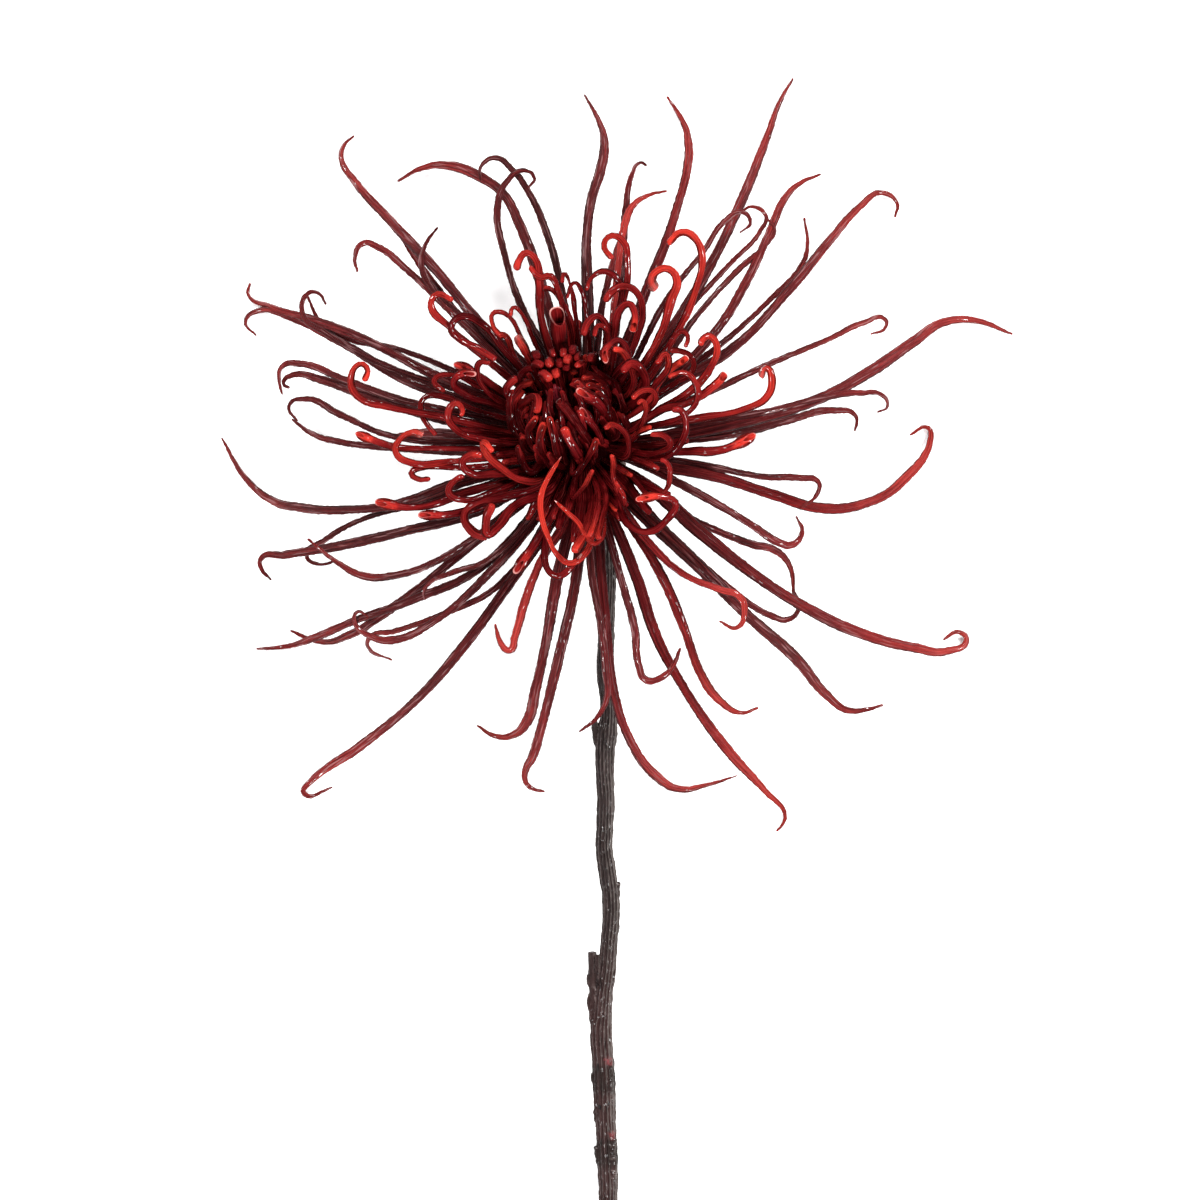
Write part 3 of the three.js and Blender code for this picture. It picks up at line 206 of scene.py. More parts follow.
# Each row: kind of tip, tone, width, how far the tip stands above the parting surface,
# then x and y.
HOOKED_FLORETS = [
    ("blunt", 0.6, 2.2, 14, -8, 19, -11.8, 32, -12.2, 41, -13.4, 46.4, -15.4, 47.6, -17, 46, -18, 43.4),
    ("blunt", 0.55, 1.7, 10, -4, 19, -5.6, 31, -7.4, 38, -9.4, 41.8, -12, 41.6, -14.6, 44.4),
    ("blunt", 0.5, 1.4, 6, -3, 20, -4.4, 31, -6.8, 35.8, -9.6, 38.8, -11.8, 38.6),
    ("open", 0.22, 4.0, 18, -5.6, 18, -7, 25, -7.7, 33.2),
    ("blunt", 0.5, 1.9, 10, 8, 17, 12.6, 28, 13.6, 34, 12, 38, 9, 39.3, 6, 38, 4.2, 35.4),
    ("open", 0.5, 2.0, 16, 5, 17, 6.6, 28, 8, 33.4, 10.2, 34.8, 11.7, 32.4, 11.3, 28.2),
    ("blunt", 0.4, 1.6, 12, 5, 20, 6.4, 30, 8.4, 36.4, 8, 40, 4.6, 43, 1, 41.6, -0.6, 38.2),
    ("blunt", 0.4, 2.0, 18, 3, 17, 4.6, 25, 4.4, 29.6, 2.4, 31.8, 0.2, 30.4, -1.2, 27),
    ("blunt", 0.6, 1.7, 8, 6, 20, 7, 30, 9.2, 37, 9.9, 45, 8.4, 51, 5.6, 51.9, 4, 49.6, 6, 46.2),
    ("blunt", 0.75, 2.0, 16, 12, 14, 22.6, 28.6, 27, 39, 28.4, 47, 26.6, 51.4, 23.6, 52.8, 20, 49.8),
    ("lobe", 0.75, 2.2, 20, 9.6, 14, 18, 27, 20.8, 36, 22.2, 40.6,
     20.4, 43.4, 17.4, 43, 15.9, 40.6, 17, 38.4),
    ("blunt", 0.45, 1.3, 12, 12, 12, 18.6, 21, 21.4, 26.4, 23.6, 28, 24.9, 26.6, 24.2, 24),
    ("blunt", 0.45, 1.6, 7, 13, 9.6, 22, 15.2, 26, 18, 26.2, 21, 23.4, 23, 20.4, 23.3),
    ("blunt", 0.55, 1.8, 20, 12, 10, 17.6, 15.6, 20.2, 19.6, 19.4, 22.3, 17, 20),
    ("open", 0.75, 1.9, 13, 14, 9.6, 19.4, 17.4, 24.6, 21.3),
    ("blunt", 0.65, 2.0, 15, 13, 5, 18, 8.6, 25.4, 13, 30.6, 19, 32.2, 24, 30.4, 26.8, 28.6, 26, 28, 24.4),
    ("blunt", 0.55, 1.6, 16, 14, 4, 18, 4.9, 23.6, 6.8, 27, 10.6, 26.9, 14.8, 24, 17.6, 20.2, 16.6),
    ("open", 0.55, 2.1, 9, 12.6, 5.1, 16.4, 7.5, 19, 8.8, 25, 10.2, 31, 14, 34.4, 17.4),
    ("blunt", 0.42, 1.8, 17, 12, -3.6, 20, -3, 23.6, 1, 24.4, 5.4, 23, 8.3, 21, 8.4),
    ("blunt", 0.5, 1.6, 18, 11, -2.2, 17.6, -2.2, 20.6, 0, 18.8, 2.1, 15.6, 2.3),
    ("blunt", 0.6, 1.6, 22, 12, 4, 15, 8.4, 16.9, 11.4, 16.2, 13.1, 14, 13.4, 12.4, 12.6, 11, 11.2),
    ("blunt", 0.6, 1.4, 20, 11, 1, 13, 3.6, 14.1, 6.6, 14.3, 9.4, 13.4, 10.6, 12.4, 10),
    ("blunt", 0.4, 2.4, 21, 9.6, 9, 14.2, 13.6, 13.8, 17.6, 10.8, 20, 8.4, 18),
    ("slit", 0.3, 1.9, 18, 7, 14, 10, 19, 9.6, 23.4, 7.6, 25.8, 5.2, 24.4, 4.2, 22.6, 4.4, 20.4),
    ("blunt", 0.6, 1.9, 19, 9, 11, 11.4, 15, 11, 18, 9.8, 21.2, 8.2, 23, 6.4, 23.5),
    ("blunt", 0.5, 1.4, 17, 4, 17, 5.2, 25, 4, 29.2, 2.6, 29.4, 1.5, 26.8),
    ("blunt", 0.55, 1.5, 20, 9.6, -3, 10, 1.2, 8.4, 3.6, 6, 4.8, 4.3, 3.8),
    ("blunt", 0.7, 1.4, 12, 10.6, 1.4, 12.6, 2.8, 15.7, 4.1),
    ("slit", 0.27, 2.0, 9, -16, 9, -24, 14.6, -29.4, 18.2, -33.4, 20),
    ("slit", 0.22, 1.8, 14, -15, 6.6, -24, 10, -30.6, 12.2, -33.6, 15.2, -31.8, 17.2, -28.2, 17.4),
    ("blunt", 0.38, 1.4, 18, -13, 5, -20.6, 9.4, -25.8, 13.6, -27.6, 17.2, -27, 20.2, -24.4, 20.2),
    ("blunt", 0.38, 1.5, 4, -16, 5, -29, 8.8, -36.6, 11.9, -41, 11.4, -41.6, 7.6, -38, 2.2),
    ("blunt", 0.55, 1.8, 15, -14, 0, -27, 1.2, -33, 3.6, -34.9, 7.6, -33, 10, -31.3, 8.4, -31.6, 6.8),
    ("blunt", 0.5, 1.6, 8, -15, 8, -27, 14.4, -35, 17.4, -38.4, 16, -35.8, 12.8),
    ("blunt", 0.65, 2.0, 14, -15, 2, -36, 6.6, -50, 9.4, -57.4, 11.8,
     -59.2, 16, -57, 19.9, -55, 18.4, -56, 15.6),
    ("slit", 0.45, 1.7, 6, -16, -1, -38, -1.2, -48, -0.8, -53.6, 0.9, -58.3, 2.8),
    ("lobe", 0.7, 1.8, 13, -14, -2, -34, -4.4, -44.4, -4.7, -48, -2, -47, 1, -43.8, 2.8, -41, 2.2),
    ("blunt", 0.5, 1.7, 7, -14, -4, -32, -6, -41, -5.8, -44, -7.4, -42.4, -8.8, -39.3, -8.7),
    ("blunt", 0.5, 2.0, 16, -13, -5.6, -24, -7.6, -30, -7, -31.3, -4.8, -29.4, -3, -26.4, -2.8),
    ("blunt", 0.8, 2.0, 21, -12, -9, -16.6, -9, -21.4, -6.2, -25.6, -2, -26, 0.2, -23.8, -2),
    ("blunt", 0.42, 1.8, 11, -13, -7, -24, -12.2, -31, -14, -34.7, -12, -33.6, -9.6, -31, -8),
    ("slit", 0.38, 2.1, 7, -14, -7, -30, -12, -42, -15.8, -53.4, -14.6),
    ("slit", 0.28, 2.0, 9, -13, -9, -26, -15.4, -34, -17.6, -42.4, -17.8),
    ("blunt", 0.45, 2.3, 9, -11, -10, -22, -13.6, -28, -15, -30.8, -18, -28.8, -21.8, -25, -23.4),
    ("blunt", 0.5, 2.5, 18, -9.6, -11.6, -18, -15.4, -23.2, -21.4,
     -25, -22.6, -25.4, -19.4, -23.8, -15),
    ("thorn", 0.9, 1.6, 24, 1, -14, 0.8, -24, -1.2, -28, -4.6, -29.9, -7.4, -28, -9.8, -23.6,
     -11.6, -18, -11.7, -13, -9.6, -8, -6.6, -3.3),
    ("thorn", 0.4, 1.9, 7, -8, -14, -10.6, -25, -9.8, -31.6, -7.2, -33, -4.4, -31, -1.6, -27.6),
    ("slit", 0.25, 2.2, 4, -7, -14, -12.4, -23.6, -18.2, -32.2),
    ("thorn", 0.75, 1.3, 20, 3.4, -13.4, 4, -20, 3.2, -24, 1.2, -25, -0.8, -22.8,
     -2.4, -19.8, -5, -17.3, -8.3, -14.2),
    ("blunt", 0.65, 1.7, 19, 2.6, -12.6, 2, -18, 0.3, -23),
    ("blunt", 0.55, 2.0, 12, 4.4, -12.6, 3.4, -19, 2.6, -23.6),
    ("blunt", 0.65, 2.3, 15, 1.2, -13, -0.4, -21, -3.4, -27),
    ("blunt", 0.15, 2.2, 3, -4, -10, -6.2, -17, -7.4, -21.4),
    ("blunt", 0.6, 1.3, 20, -3.6, -13.6, -2.4, -12.4, -0.9, -10.6, 0.2, -8.6, 1.2, -6.7),
    ("blunt", 0.6, 1.5, 19, 6, -11, 7.4, -12.4, 6.4, -8, 6.4, -5, 6, -2.8),
    ("blunt", 0.6, 1.5, 9, 6.4, -5.2, 8.6, -6.6, 10.9, -8),
    ("blunt", 0.5, 1.3, 15, 7, -11, 9.2, -15, 8.8, -12.8, 8, -11.4, 6.8, -9.6),
    ("blunt", 0.75, 1.2, 8, 1.6, -11.6, 4.4, -14.2, 7.1, -16.7),
    ("slit", 0.45, 1.9, 18, 6.6, -12.6, 10.6, -20.6, 15.4, -22,
     20, -18.6, 21.8, -15, 19.2, -13.4, 12, -13.9),
    ("blunt", 0.5, 1.3, 15, 10.6, -8, 16.4, -13, 19.4, -11.6, 20.4, -8, 19.8, -5, 18, -3.9),
    ("slit", 0.45, 2.2, 10, 13, -2, 25, -2, 33, -1.6, 37.6, 0, 41.8, 2.4),
    ("lobe", 0.7, 2.0, 11, 14, 4, 28, 6.4, 39, 8.6, 44.6, 11.6, 45.9, 15.4, 44.4, 19, 43, 16.4),
    ("blunt", 0.4, 2.0, 10, -12, 13, -21, 23.4, -26.6, 30, -31.4, 31.8, -34.2, 29, -32.4, 26.4,
     -28.4, 24.2, -23, 21),
    ("blunt", 0.6, 1.8, 11, -13, 11, -26, 21.6, -35, 29.6, -39.2, 34.4, -38, 37.2, -33.7, 35.8),
    ("blunt", 0.6, 1.3, 13, -11, 15, -16.4, 26, -20.6, 32.4, -23.6, 32.6, -23.8, 29.8, -21.8, 27),
    ("blunt", 0.5, 1.2, 10, -9, 16, -13.6, 26, -17, 33, -18.6, 34, -19.3, 31.8),
    ("lobe", 0.6, 2.0, 17, -10.4, 14.6, -14, 20, -16.2, 24, -17.8, 27),
    ("blunt", 0.4, 2.2, 4, -2, 16, -2.4, 24, -2.7, 31),
    ("blunt", 0.2, 2.0, 5, 10, -0.6, 17, -0.4, 25, 0.8),
    ("blunt", 0.2, 2.2, 4, -16, 1.6, -25, 2.6, -33, 3.4),
    ("blunt", 0.25, 2.2, 6, 10, -7.8, 17, -11.6, 20.4, -13.2),
    ("blunt", 0.25, 2.2, 5, 8, -7.6, 12.4, -13.6, 15.6, -17.4),
    ("blunt", 0.6, 1.6, 5, -12, 12, -18.6, 22, -21.4, 27.2, -23, 25.4),
    ("blunt", 0.45, 1.1, 14, -2, 18, -3.2, 33, -4.6, 40.2, -5.8, 42.4, -6.5, 40.2),
    ("blunt", 0.35, 1.1, 15, 0.6, 18, -0.4, 32, -1.8, 38.6, -3.2, 40.2, -5.4, 36.2),
]

FILLER_FLORETS = 46  # dark florets under the hooked ones, less those that would cover a gap
FILLER_WIDTH = 2.1
FILLER_RINGS = 24
FILLER_SEED = 200
GAP_ROOM = 1.4
# Narrow gaps where the surface shows between the florets near the head: ends of their middles.
GAPS = [
    ((9.6, 5), (13, 7.4)),
    ((16.4, 5.6), (20.2, 7.2)),
    ((16.4, 3.1), (19.8, 3.8)),
    ((10.4, -5.5), (19, -10.2)),
    ((13.2, -11.4), (14.5, -12.8)),
    ((-28.6, -18.4), (-27.2, -20.8)),
    ((-22, -21.4), (-18, -18.2)),
]
GOLDEN_ANGLE = math.radians(137.508)

# ---- the crown's ball -------------------------------------------------------------------
BALL_HEIGHT = 12.6
BALL_RADIUS = 12
EYE = Vector((-8.4, 13.4))
EYE_DEPTH = 4
EYE_WIDTH = 3

# Each row: kind of tip, tone, width, depth under the ball's surface, then x and y of points
# from where the floret bends onto the ball to its tip.
CROWN_FLORETS = [
    ("blunt", 0.35, 1.9, 0, -18.6, 3.5, -19.4, 8, -19.3, 11.6, -18.5, 13.5),
    ("blunt", 0.4, 1.8, 0, -17.6, 4, -18.6, 8.2, -17.8, 11.6, -16, 13.2),
    ("blunt", 0.5, 1.9, 0.2, -16.6, 4.6, -16.9, 8.4, -15, 10.9, -13.2, 11.8, -12.4, 10.4, -12.9, 7.6),
    ("blunt", 0.45, 1.9, 0.6, -14.6, 1.2, -14.8, 3.4, -13.6, 5.4, -12.6, 6.8),
    ("blunt", 0.2, 1.5, 1.2, -17.4, 2.6, -17.6, 4.6, -16.4, 6.2, -14.9, 6.9),
    ("blunt", 0.55, 2.2, 0.2, -11.4, -1.6, -11.9, 1.6, -11.5, 3.6, -10.7, 5.3),
    ("blunt", 0.5, 1.8, 0.1, -8, -1.4, -8.6, 2, -9.2, 4.6, -9.7, 6.8),
    ("blunt", 0.45, 2.1, -0.4, -2.6, -2.8, -3.7, -0.8, -5, 1.4, -6.2, 4.1),
    ("blunt", 0.25, 1.6, 1.2, -1.4, -4, -2, -2.6, -2.7, -1.1),
    ("blunt", 0.45, 1.5, -0.9, -3.6, -7.6, -1.2, -5.2, 0.8, -2, 2.4, 1.3),
    ("blunt", 0.25, 1.7, 0.8, 0.4, -4.4, 0.1, -1.6, -0.8, 0.6, -2.2, 2.2),
    ("slit", 0.3, 1.5, 0, 3.2, 0.4, 2.4, 3, 0.8, 5.2, -0.6, 7.2, -1.9, 8.9),
    ("blunt", 0.4, 1.8, 0.7, -1.2, 1.4, -1.2, 4, -1.7, 6.2, -2.3, 8.4),
    ("slit", 0.22, 2.0, 0, -0.8, 2, -3, 5.2, -5.2, 8.2, -7.9, 11.4),
    ("blunt", 0.3, 1.8, 0.2, -14.2, -7, -16, -5, -17, -2.4, -17.3, -0.2),
    ("blunt", 0.25, 2.1, 0.6, -8.4, -5.6, -10.4, -3.8, -12, -2, -13.3, -0.2),
    ("blunt", 0.12, 2.0, 1.6, -15.4, -1.6, -16.2, 1, -16.3, 3.4),
    ("blunt", 0.45, 1.6, 0, -18.6, 11, -17.4, 13.6, -15.6, 14.9, -13.5, 15.3),
    ("blunt", 0.3, 1.9, 0, -20.4, 13.4, -19.4, 15.2, -17.6, 16.6),
    ("blunt", 0.15, 1.5, 0, -17, 16.4, -15.8, 18.2, -14.6, 18.9, -13.2, 18.4),
    ("blunt", 0.5, 1.6, 0, 4.6, 14.6, 2.2, 16.6, -0.6, 17.6, -2.8, 17.9, -4.8, 17.8),
    ("blunt", 0.45, 1.6, 0, 5, 12.6, 3, 15.2, 1, 16.2, -1.3, 16.4),
    ("slit", 0.5, 1.7, 0.6, 0.4, 12.4, -1.4, 13.8, -2.6, 15, -3.4, 16),
    ("slit", 0.5, 2.0, -0.1, 3.6, 8.6, 1.8, 10.6, -0.6, 12.1, -3, 13.6),
    ("blunt", 0.45, 1.7, -0.2, 5.2, 8.4, 4.4, 11, 2.6, 13.4, 0.8, 14.4, -0.7, 14.2),
    ("blunt", 0.4, 1.5, -0.4, 5.2, 7, 4.8, 9.4, 3.6, 11.4, 1.8, 12.9),
    ("blunt", 0.15, 1.4, 0.2, 6.4, 14.6, 4.4, 16.6, 2.2, 18, 0.8, 19.6),
    ("blunt", 0.15, 1.6, 0.3, 7.6, 12.6, 7, 14.8, 4.8, 15.6, 3.4, 15),
    ("blunt", 0.15, 1.7, 0.2, 8.6, 8.2, 8.2, 10.8, 7.4, 12.6, 6, 13.4),
    ("blunt", 0.3, 1.6, 0, 9.8, 3.6, 9, 6, 7.4, 8.2),
    ("blunt", 0.2, 1.9, 0.4, 6.4, 1.6, 6.8, 5, 5.8, 8),
    ("blunt", 0.15, 1.8, 0.8, 4.6, 0.6, 4.6, 4, 3, 6.8),
    ("blunt", 0.12, 1.9, 1.4, -5.6, -4.6, -6.6, -1.6, -7.2, 1.4),
    ("blunt", 0.12, 1.9, 1.6, -2.6, 0, -3.6, 3, -4.4, 6),
]
# Florets that stand up behind the eye and show their blunt ends. Each row: tone, width, height
# of the tip, x and y of the tip, x and y of the floret lower down and how much lower.
KNOB_FLORETS = [
    (0.25, 1.9, 57.5, -11.2, 19.4, -13.2, 19.9, 2.4),
    (0.4, 1.9, 58.5, -9.5, 19.5, -9.6, 20.5, 5),
    (0.5, 2.1, 60.5, -9.3, 15.9, -11.3, 17.5, 2.6),
    (0.42, 2.0, 60.5, -7.9, 16.9, -8, 17.8, 4.5),
    (0.15, 1.8, 57, -7.3, 19.4, -6.8, 20.6, 4),
    (0.35, 1.7, 56, -6.2, 22, -6, 23, 4),
    (0.45, 2.0, 57, -5.4, 20.5, -4.8, 21.2, 4),
    (0.4, 1.6, 57.5, -2.8, 19.5, -1.4, 20, 3),
    (0.2, 1.6, 55.5, -2.9, 21, -2.4, 22, 4),
    (0.2, 1.7, 55, 0.4, 20.9, 1.2, 21.8, 3.5),
    (0.3, 1.3, 55.5, -8.6, 22, -8.8, 23, 4),
    (0.1, 1.9, 55, -4, 22.6, -3.6, 23.6, 4),
    (0.1, 1.9, 55.5, -12.6, 21.4, -13.2, 22.4, 4),
    (0.1, 1.9, 56.5, -5.6, 18.6, -5, 19.6, 4),
]
CROWN_SKIRT = 19  # dark florets round the ball's underside
SKIRT_WIDTH = 2.3
INNER_FLORETS = 38  # short florets under the crown's outer ones
HEART_FLORETS = 16  # tiny florets at the bottom of the eye

# ---- the stem -----------------------------------------------------------------------------
# Its route from the neck to the cut: x, y and height of its middle and its radius.
STEM_ROUTE = [
    (2.6, -14, 30.2, 2.3),
    (4.2, -22, 27.6, 2.2),
    (4.9, -32, 25.8, 2.15),
    (4.6, -45, 24, 2.05),
    (4.4, -58, 22.3, 2.1),
    (5, -64, 21.5, 1.95),
    (5.1, -68.4, 20.9, 1.95),
    (4.6, -72.5, 20.4, 2.45),
    (4.25, -76, 19.9, 2.25),
    (4.1, -81, 19.3, 2.15),
    (4.4, -89, 18.3, 2.1),
    (4.2, -95, 17.5, 2.1),
    (4, -101, 16.7, 2.2),
    (4.9, -108, 15.8, 2.4),
    (5.6, -113, 15.1, 2.35),
    (5.7, -119, 14.4, 2.35),
    (5.2, -125, 13.6, 2.25),
    (4.8, -131, 12.8, 2.25),
    (4, -137, 12, 2.2),
    (3.5, -143, 11.2, 2.3),
    (3.2, -148, 10.6, 2.55),
    (3.6, -154, 9.8, 2.5),
    (3.9, -160, 9, 2.65),
    (4.2, -167, 8.1, 2.55),
    (4.5, -172, 7.5, 2.45),
    (4.7, -177, 6.8, 2.65),
    (5, -184, 5.9, 2.55),
    (5.1, -192, 4.9, 2.35),
    (5.2, -200, 3.9, 2.25),
    (5, -215, 2.05, 2.2),
]
NECK_LENGTH = 3.4
NECK_RADII = [2.6, 2.45]


# ---- measuring ------------------------------------------------------------------------------
def ramp(value, low, high):
    """0 up to low, 1 from high on, and a straight line between them."""
    return np.clip((value - low) / (high - low), 0, 1)


def scatter(k):
    """Evenly scattered fractions from 0 to 1, the same every time."""
    return (k * 0.6180339887 + 0.37) % 1


def placed(point):
    """A point measured from the bloom's middle, in the part's frame in metres."""
    return (Vector(point) + BLOOM) * MM


def head_point(radius, angle, height):
    """A point given by radius, angle and height about the head's axis."""
    local = Vector((radius * math.cos(angle), radius * math.sin(angle), height))
    return HEAD + HEAD_TURN @ local


def parting_height(x, y):
    """Height of the surface between the hooked and the long florets."""
    offset = Vector((x, y)) - HEAD.xy
    out = offset.length
    fade = 1 / (1 + max(0, out - ARCH_START) / FLATTENING)
    bulge = ARCH * math.sin(math.pi * ramp(out, ARCH_START, ARCH_END))
    slope = math.tan(LEAN) * offset.dot(LEAN_PLAN) * fade
    return HEAD.z + PARTING + bulge - slope - DROOP * (out / 100) ** 2


def running_lengths(points):
    """The distance along a row of points to each of them."""
    lengths = [0.0]
    for before, after in zip(points, points[1:]):
        lengths.append(lengths[-1] + (after - before).length)
    return np.array(lengths)


def bend_radii(points):
    """The radius of the bend at each point of a row, large at its ends."""
    radii = [UNBENT]
    for a, b, c in zip(points, points[1:], points[2:]):
        twice_area = (b - a).cross(c - a).length
        sides = (b - a).length * (c - b).length * (a - c).length
        radii.append(sides / max(2 * twice_area, 1e-6))
    return np.array(radii + [UNBENT])


def floret_points(plan, height_at):
    """A floret's points: its plan from a root in the head, with heights."""
    flat = [Vector(plan[i:i + 2]) for i in range(0, len(plan), 2)]
    outward = (flat[0] - HEAD.xy).normalized()
    flat.insert(0, HEAD.xy + outward * ROOT_DEPTH)
    lengths = running_lengths(flat)
    points = []
    for place, share in zip(flat, lengths / lengths[-1]):
        out = (place - HEAD.xy).length
        points.append(Vector((*place, height_at(place.x, place.y, share, out))))
    return points


def taper(root, full, tip_start, tip):
    """A floret's width from its root at 0 to its tip at 1."""
    def width_at(share):
        grown = root + (full - root) * ramp(share, 0, GROWN_AT)
        return grown + (tip - grown) * ramp(share, tip_start, 1) ** TAPERING
    return width_at


def long_taper(full):
    """A long floret's width: broadest near the head, then even, then down to a fine tip."""
    base = BASE_FULLNESS * full

    def width_at(share):
        grown = LONG_ROOT + (base - LONG_ROOT) * ramp(share, *BROADENING)
        grown = grown + (full - base) * ramp(share, *NARROWING)
        return grown + (TIP_WIDTH - grown) * ramp(share, *TIP_TAPER) ** TAPERING
    return width_at


# ---- modelling ------------------------------------------------------------------------------
HAIR = 1e-4  # lengths under this are none
ON_GROOVE = 0.02  # how close to a groove's middle a vertex is on it
TIP_STEPS = 5
TIP_CLOSING = 0.35  # a rounded tip stops this part of a step before its pole
LIP = 0.06
MOUTH_STEPS = (0.3, 0.35, 0.35)


def select_only(*pieces):
    """Selects these pieces and nothing else, and makes the first one active."""
    bpy.ops.object.select_all(action="DESELECT")
    for piece in pieces:
        piece.select_set(True)
    bpy.context.view_layer.objects.active = pieces[0]


@contextmanager
def editing(piece):
    """Edit mode on one piece, with nothing of it selected."""
    select_only(piece)
    bpy.ops.object.mode_set(mode="EDIT")
    bpy.ops.mesh.select_all(action="DESELECT")
    yield
    bpy.ops.object.mode_set(mode="OBJECT")


def pick(piece, kind, wanted):
    """Selects the vertices, edges or faces of the edited piece that are wanted."""
    bpy.ops.mesh.select_mode(type=kind)
    bpy.ops.mesh.select_all(action="DESELECT")
    mesh = bmesh.from_edit_mesh(piece.data)
    parts = {"VERT": mesh.verts, "EDGE": mesh.edges, "FACE": mesh.faces}[kind]
    for part in parts:
        part.select_set(bool(wanted(part)))
    mesh.select_flush_mode()
    bmesh.update_edit_mesh(piece.data)


def paint_selected(piece, layer_name, value):
    """Writes a value on the selected vertices of the edited piece."""
    mesh = bmesh.from_edit_mesh(piece.data)
    layer = mesh.verts.layers.float.get(layer_name)
    for vertex in mesh.verts:
        if vertex.select:
            vertex[layer] = value
    bmesh.update_edit_mesh(piece.data)


def extrude_end(step, across, through):
    """Extrudes the selected end by a step along X and scales the new ring about itself."""
    mesh = bmesh.from_edit_mesh(bpy.context.object.data)
    bpy.ops.mesh.extrude_region_move(TRANSFORM_OT_translate={"value": (step, 0, 0)})
    ring = [vertex.co for vertex in mesh.verts if vertex.select]
    middle = sum(ring, Vector()) / len(ring)
    bpy.ops.transform.resize(value=(1, across, through), center_override=middle)


def extrude_profile(profile):
    """Extrudes the selected end ring by ring, each by its own step and sizes."""
    for step, across, through in profile:
        extrude_end(step, across, through)


def cut_into_rings(quill, rings):
    """Cuts the edited quill evenly into rings, in two rounds, since one makes at most 101."""
    coarse = math.isqrt(rings)
    for count, shortest in ((coarse, 0.5), (round(rings / coarse), HAIR)):
        pick(quill, "EDGE", lambda edge: abs(edge.verts[0].co.x - edge.verts[1].co.x) > shortest)
        bpy.ops.mesh.subdivide(number_cuts=count - 1)


def straight_quill(name, sides, rings, thickness, grooves):
    """A straight floret from x = 0 to x = 1, 1 wide, with a flat end at each side.

    Grooves are rows of across, depth and side, which is 1 on top and -1 underneath.
    """
    bpy.ops.object.select_all(action="DESELECT")
    bpy.ops.mesh.primitive_cylinder_add(
        vertices=sides, radius=0.5, depth=1, end_fill_type="NGON",
        location=(0.5, 0, 0), rotation=(0, math.pi / 2, 0),
    )
    quill = bpy.context.object
    quill.name = name
    bpy.ops.object.transform_apply(location=True, rotation=True, scale=True)
    for layer in ("groove", "pale"):
        quill.data.attributes.new(layer, "FLOAT", "POINT")
    with editing(quill):
        cut_into_rings(quill, rings)
        bpy.ops.mesh.select_all(action="SELECT")
        bpy.ops.transform.resize(value=(1, 1, thickness), center_override=(0, 0, 0))
        for across, depth, side in grooves:
            pick(quill, "VERT", lambda v: abs(v.co.y - across) < ON_GROOVE and v.co.z * side > 0)
            paint_selected(quill, "groove", 1.0)
            bpy.ops.transform.translate(value=(0, 0, -depth * side))
    return quill


def pick_end(quill):
    """Selects the flat end face at the quill's tip."""
    tip = max(vertex.co.x for vertex in bmesh.from_edit_mesh(quill.data).verts)
    pick(quill, "FACE", lambda face: face.calc_center_median().x > tip - HAIR)


def paint_beyond(quill, start, layer_name, value):
    """Writes a value on all vertices of the edited quill past a place along it."""
    pick(quill, "VERT", lambda v: v.co.x > start)
    paint_selected(quill, layer_name, value)


def round_off(sharpness=1.0):
    """Closes the selected end with a rounded tip, half as long as wide for sharpness 1."""
    angles = [0.5 * math.pi * i / (TIP_STEPS + TIP_CLOSING) for i in range(TIP_STEPS + 1)]
    for before, angle in zip(angles, angles[1:]):
        size = math.cos(angle) / math.cos(before)
        extrude_end(0.5 * sharpness * (math.sin(angle) - math.sin(before)), size, size)


def hollow_mouth(quill, depth, slant, pale, squeeze):
    """Opens the selected end into a tube, its upper rim drawn back and its lips together."""
    bpy.ops.mesh.inset(thickness=LIP)
    mesh = bmesh.from_edit_mesh(quill.data)
    end = max(vertex.co.x for vertex in mesh.verts)
    extrude_profile([(-0.1, 0.99, 0.99)] + [(-depth * part, 0.94, 0.92) for part in MOUTH_STEPS])
    layer = mesh.verts.layers.float.get("pale")
    low = min(vertex.co.z for vertex in mesh.verts)
    high = max(vertex.co.z for vertex in mesh.verts)
    for vertex in mesh.verts:
        near = float(ramp(vertex.co.x, end - 1.2 * slant, end))
        raised = (vertex.co.z - low) / (high - low)
        if vertex.co.x > end - HAIR:
            vertex[layer] = pale * (1 - raised) ** 2
        vertex.co.x -= slant * near * raised ** 1.5
        vertex.co.y *= 1 - squeeze * near * raised
    bmesh.update_edit_mesh(quill.data)


def blunt_end(quill):
    """A closed, swollen, rounded tip without grooves."""
    round_off()
    paint_beyond(quill, 1.2, "groove", 0.0)
    bpy.ops.mesh.vertices_smooth(factor=0.4, repeat=2)


def open_end(quill):
    """A slanting open tube with a pale rim."""
    hollow_mouth(quill, depth=1.3, slant=1.1, pale=1.0, squeeze=0.25)


def slit_end(quill):
    """A boat, open along the top, with pale lips."""
    hollow_mouth(quill, depth=1.8, slant=2.4, pale=0.8, squeeze=0.5)


def lobed_end(quill):
    """A broad flat lobe that pales towards its end."""
    paint_beyond(quill, 1 + HAIR, "pale", 0.03)
    pick_end(quill)
    round_off(0.8)
    paint_beyond(quill, 3.1, "pale", 0.12)


def thorn_end(quill):
    """A long thin pale point."""
    paint_selected(quill, "pale", 0.5)
    round_off(1.4)


HOOK_SIDES = 16
HOOK_RINGS = 52
HOOK_THICKNESS = 0.84
HOOK_GROOVES = [(0.191, 0.045, 1), (-0.191, 0.045, 1), (0.0, 0.04, -1)]

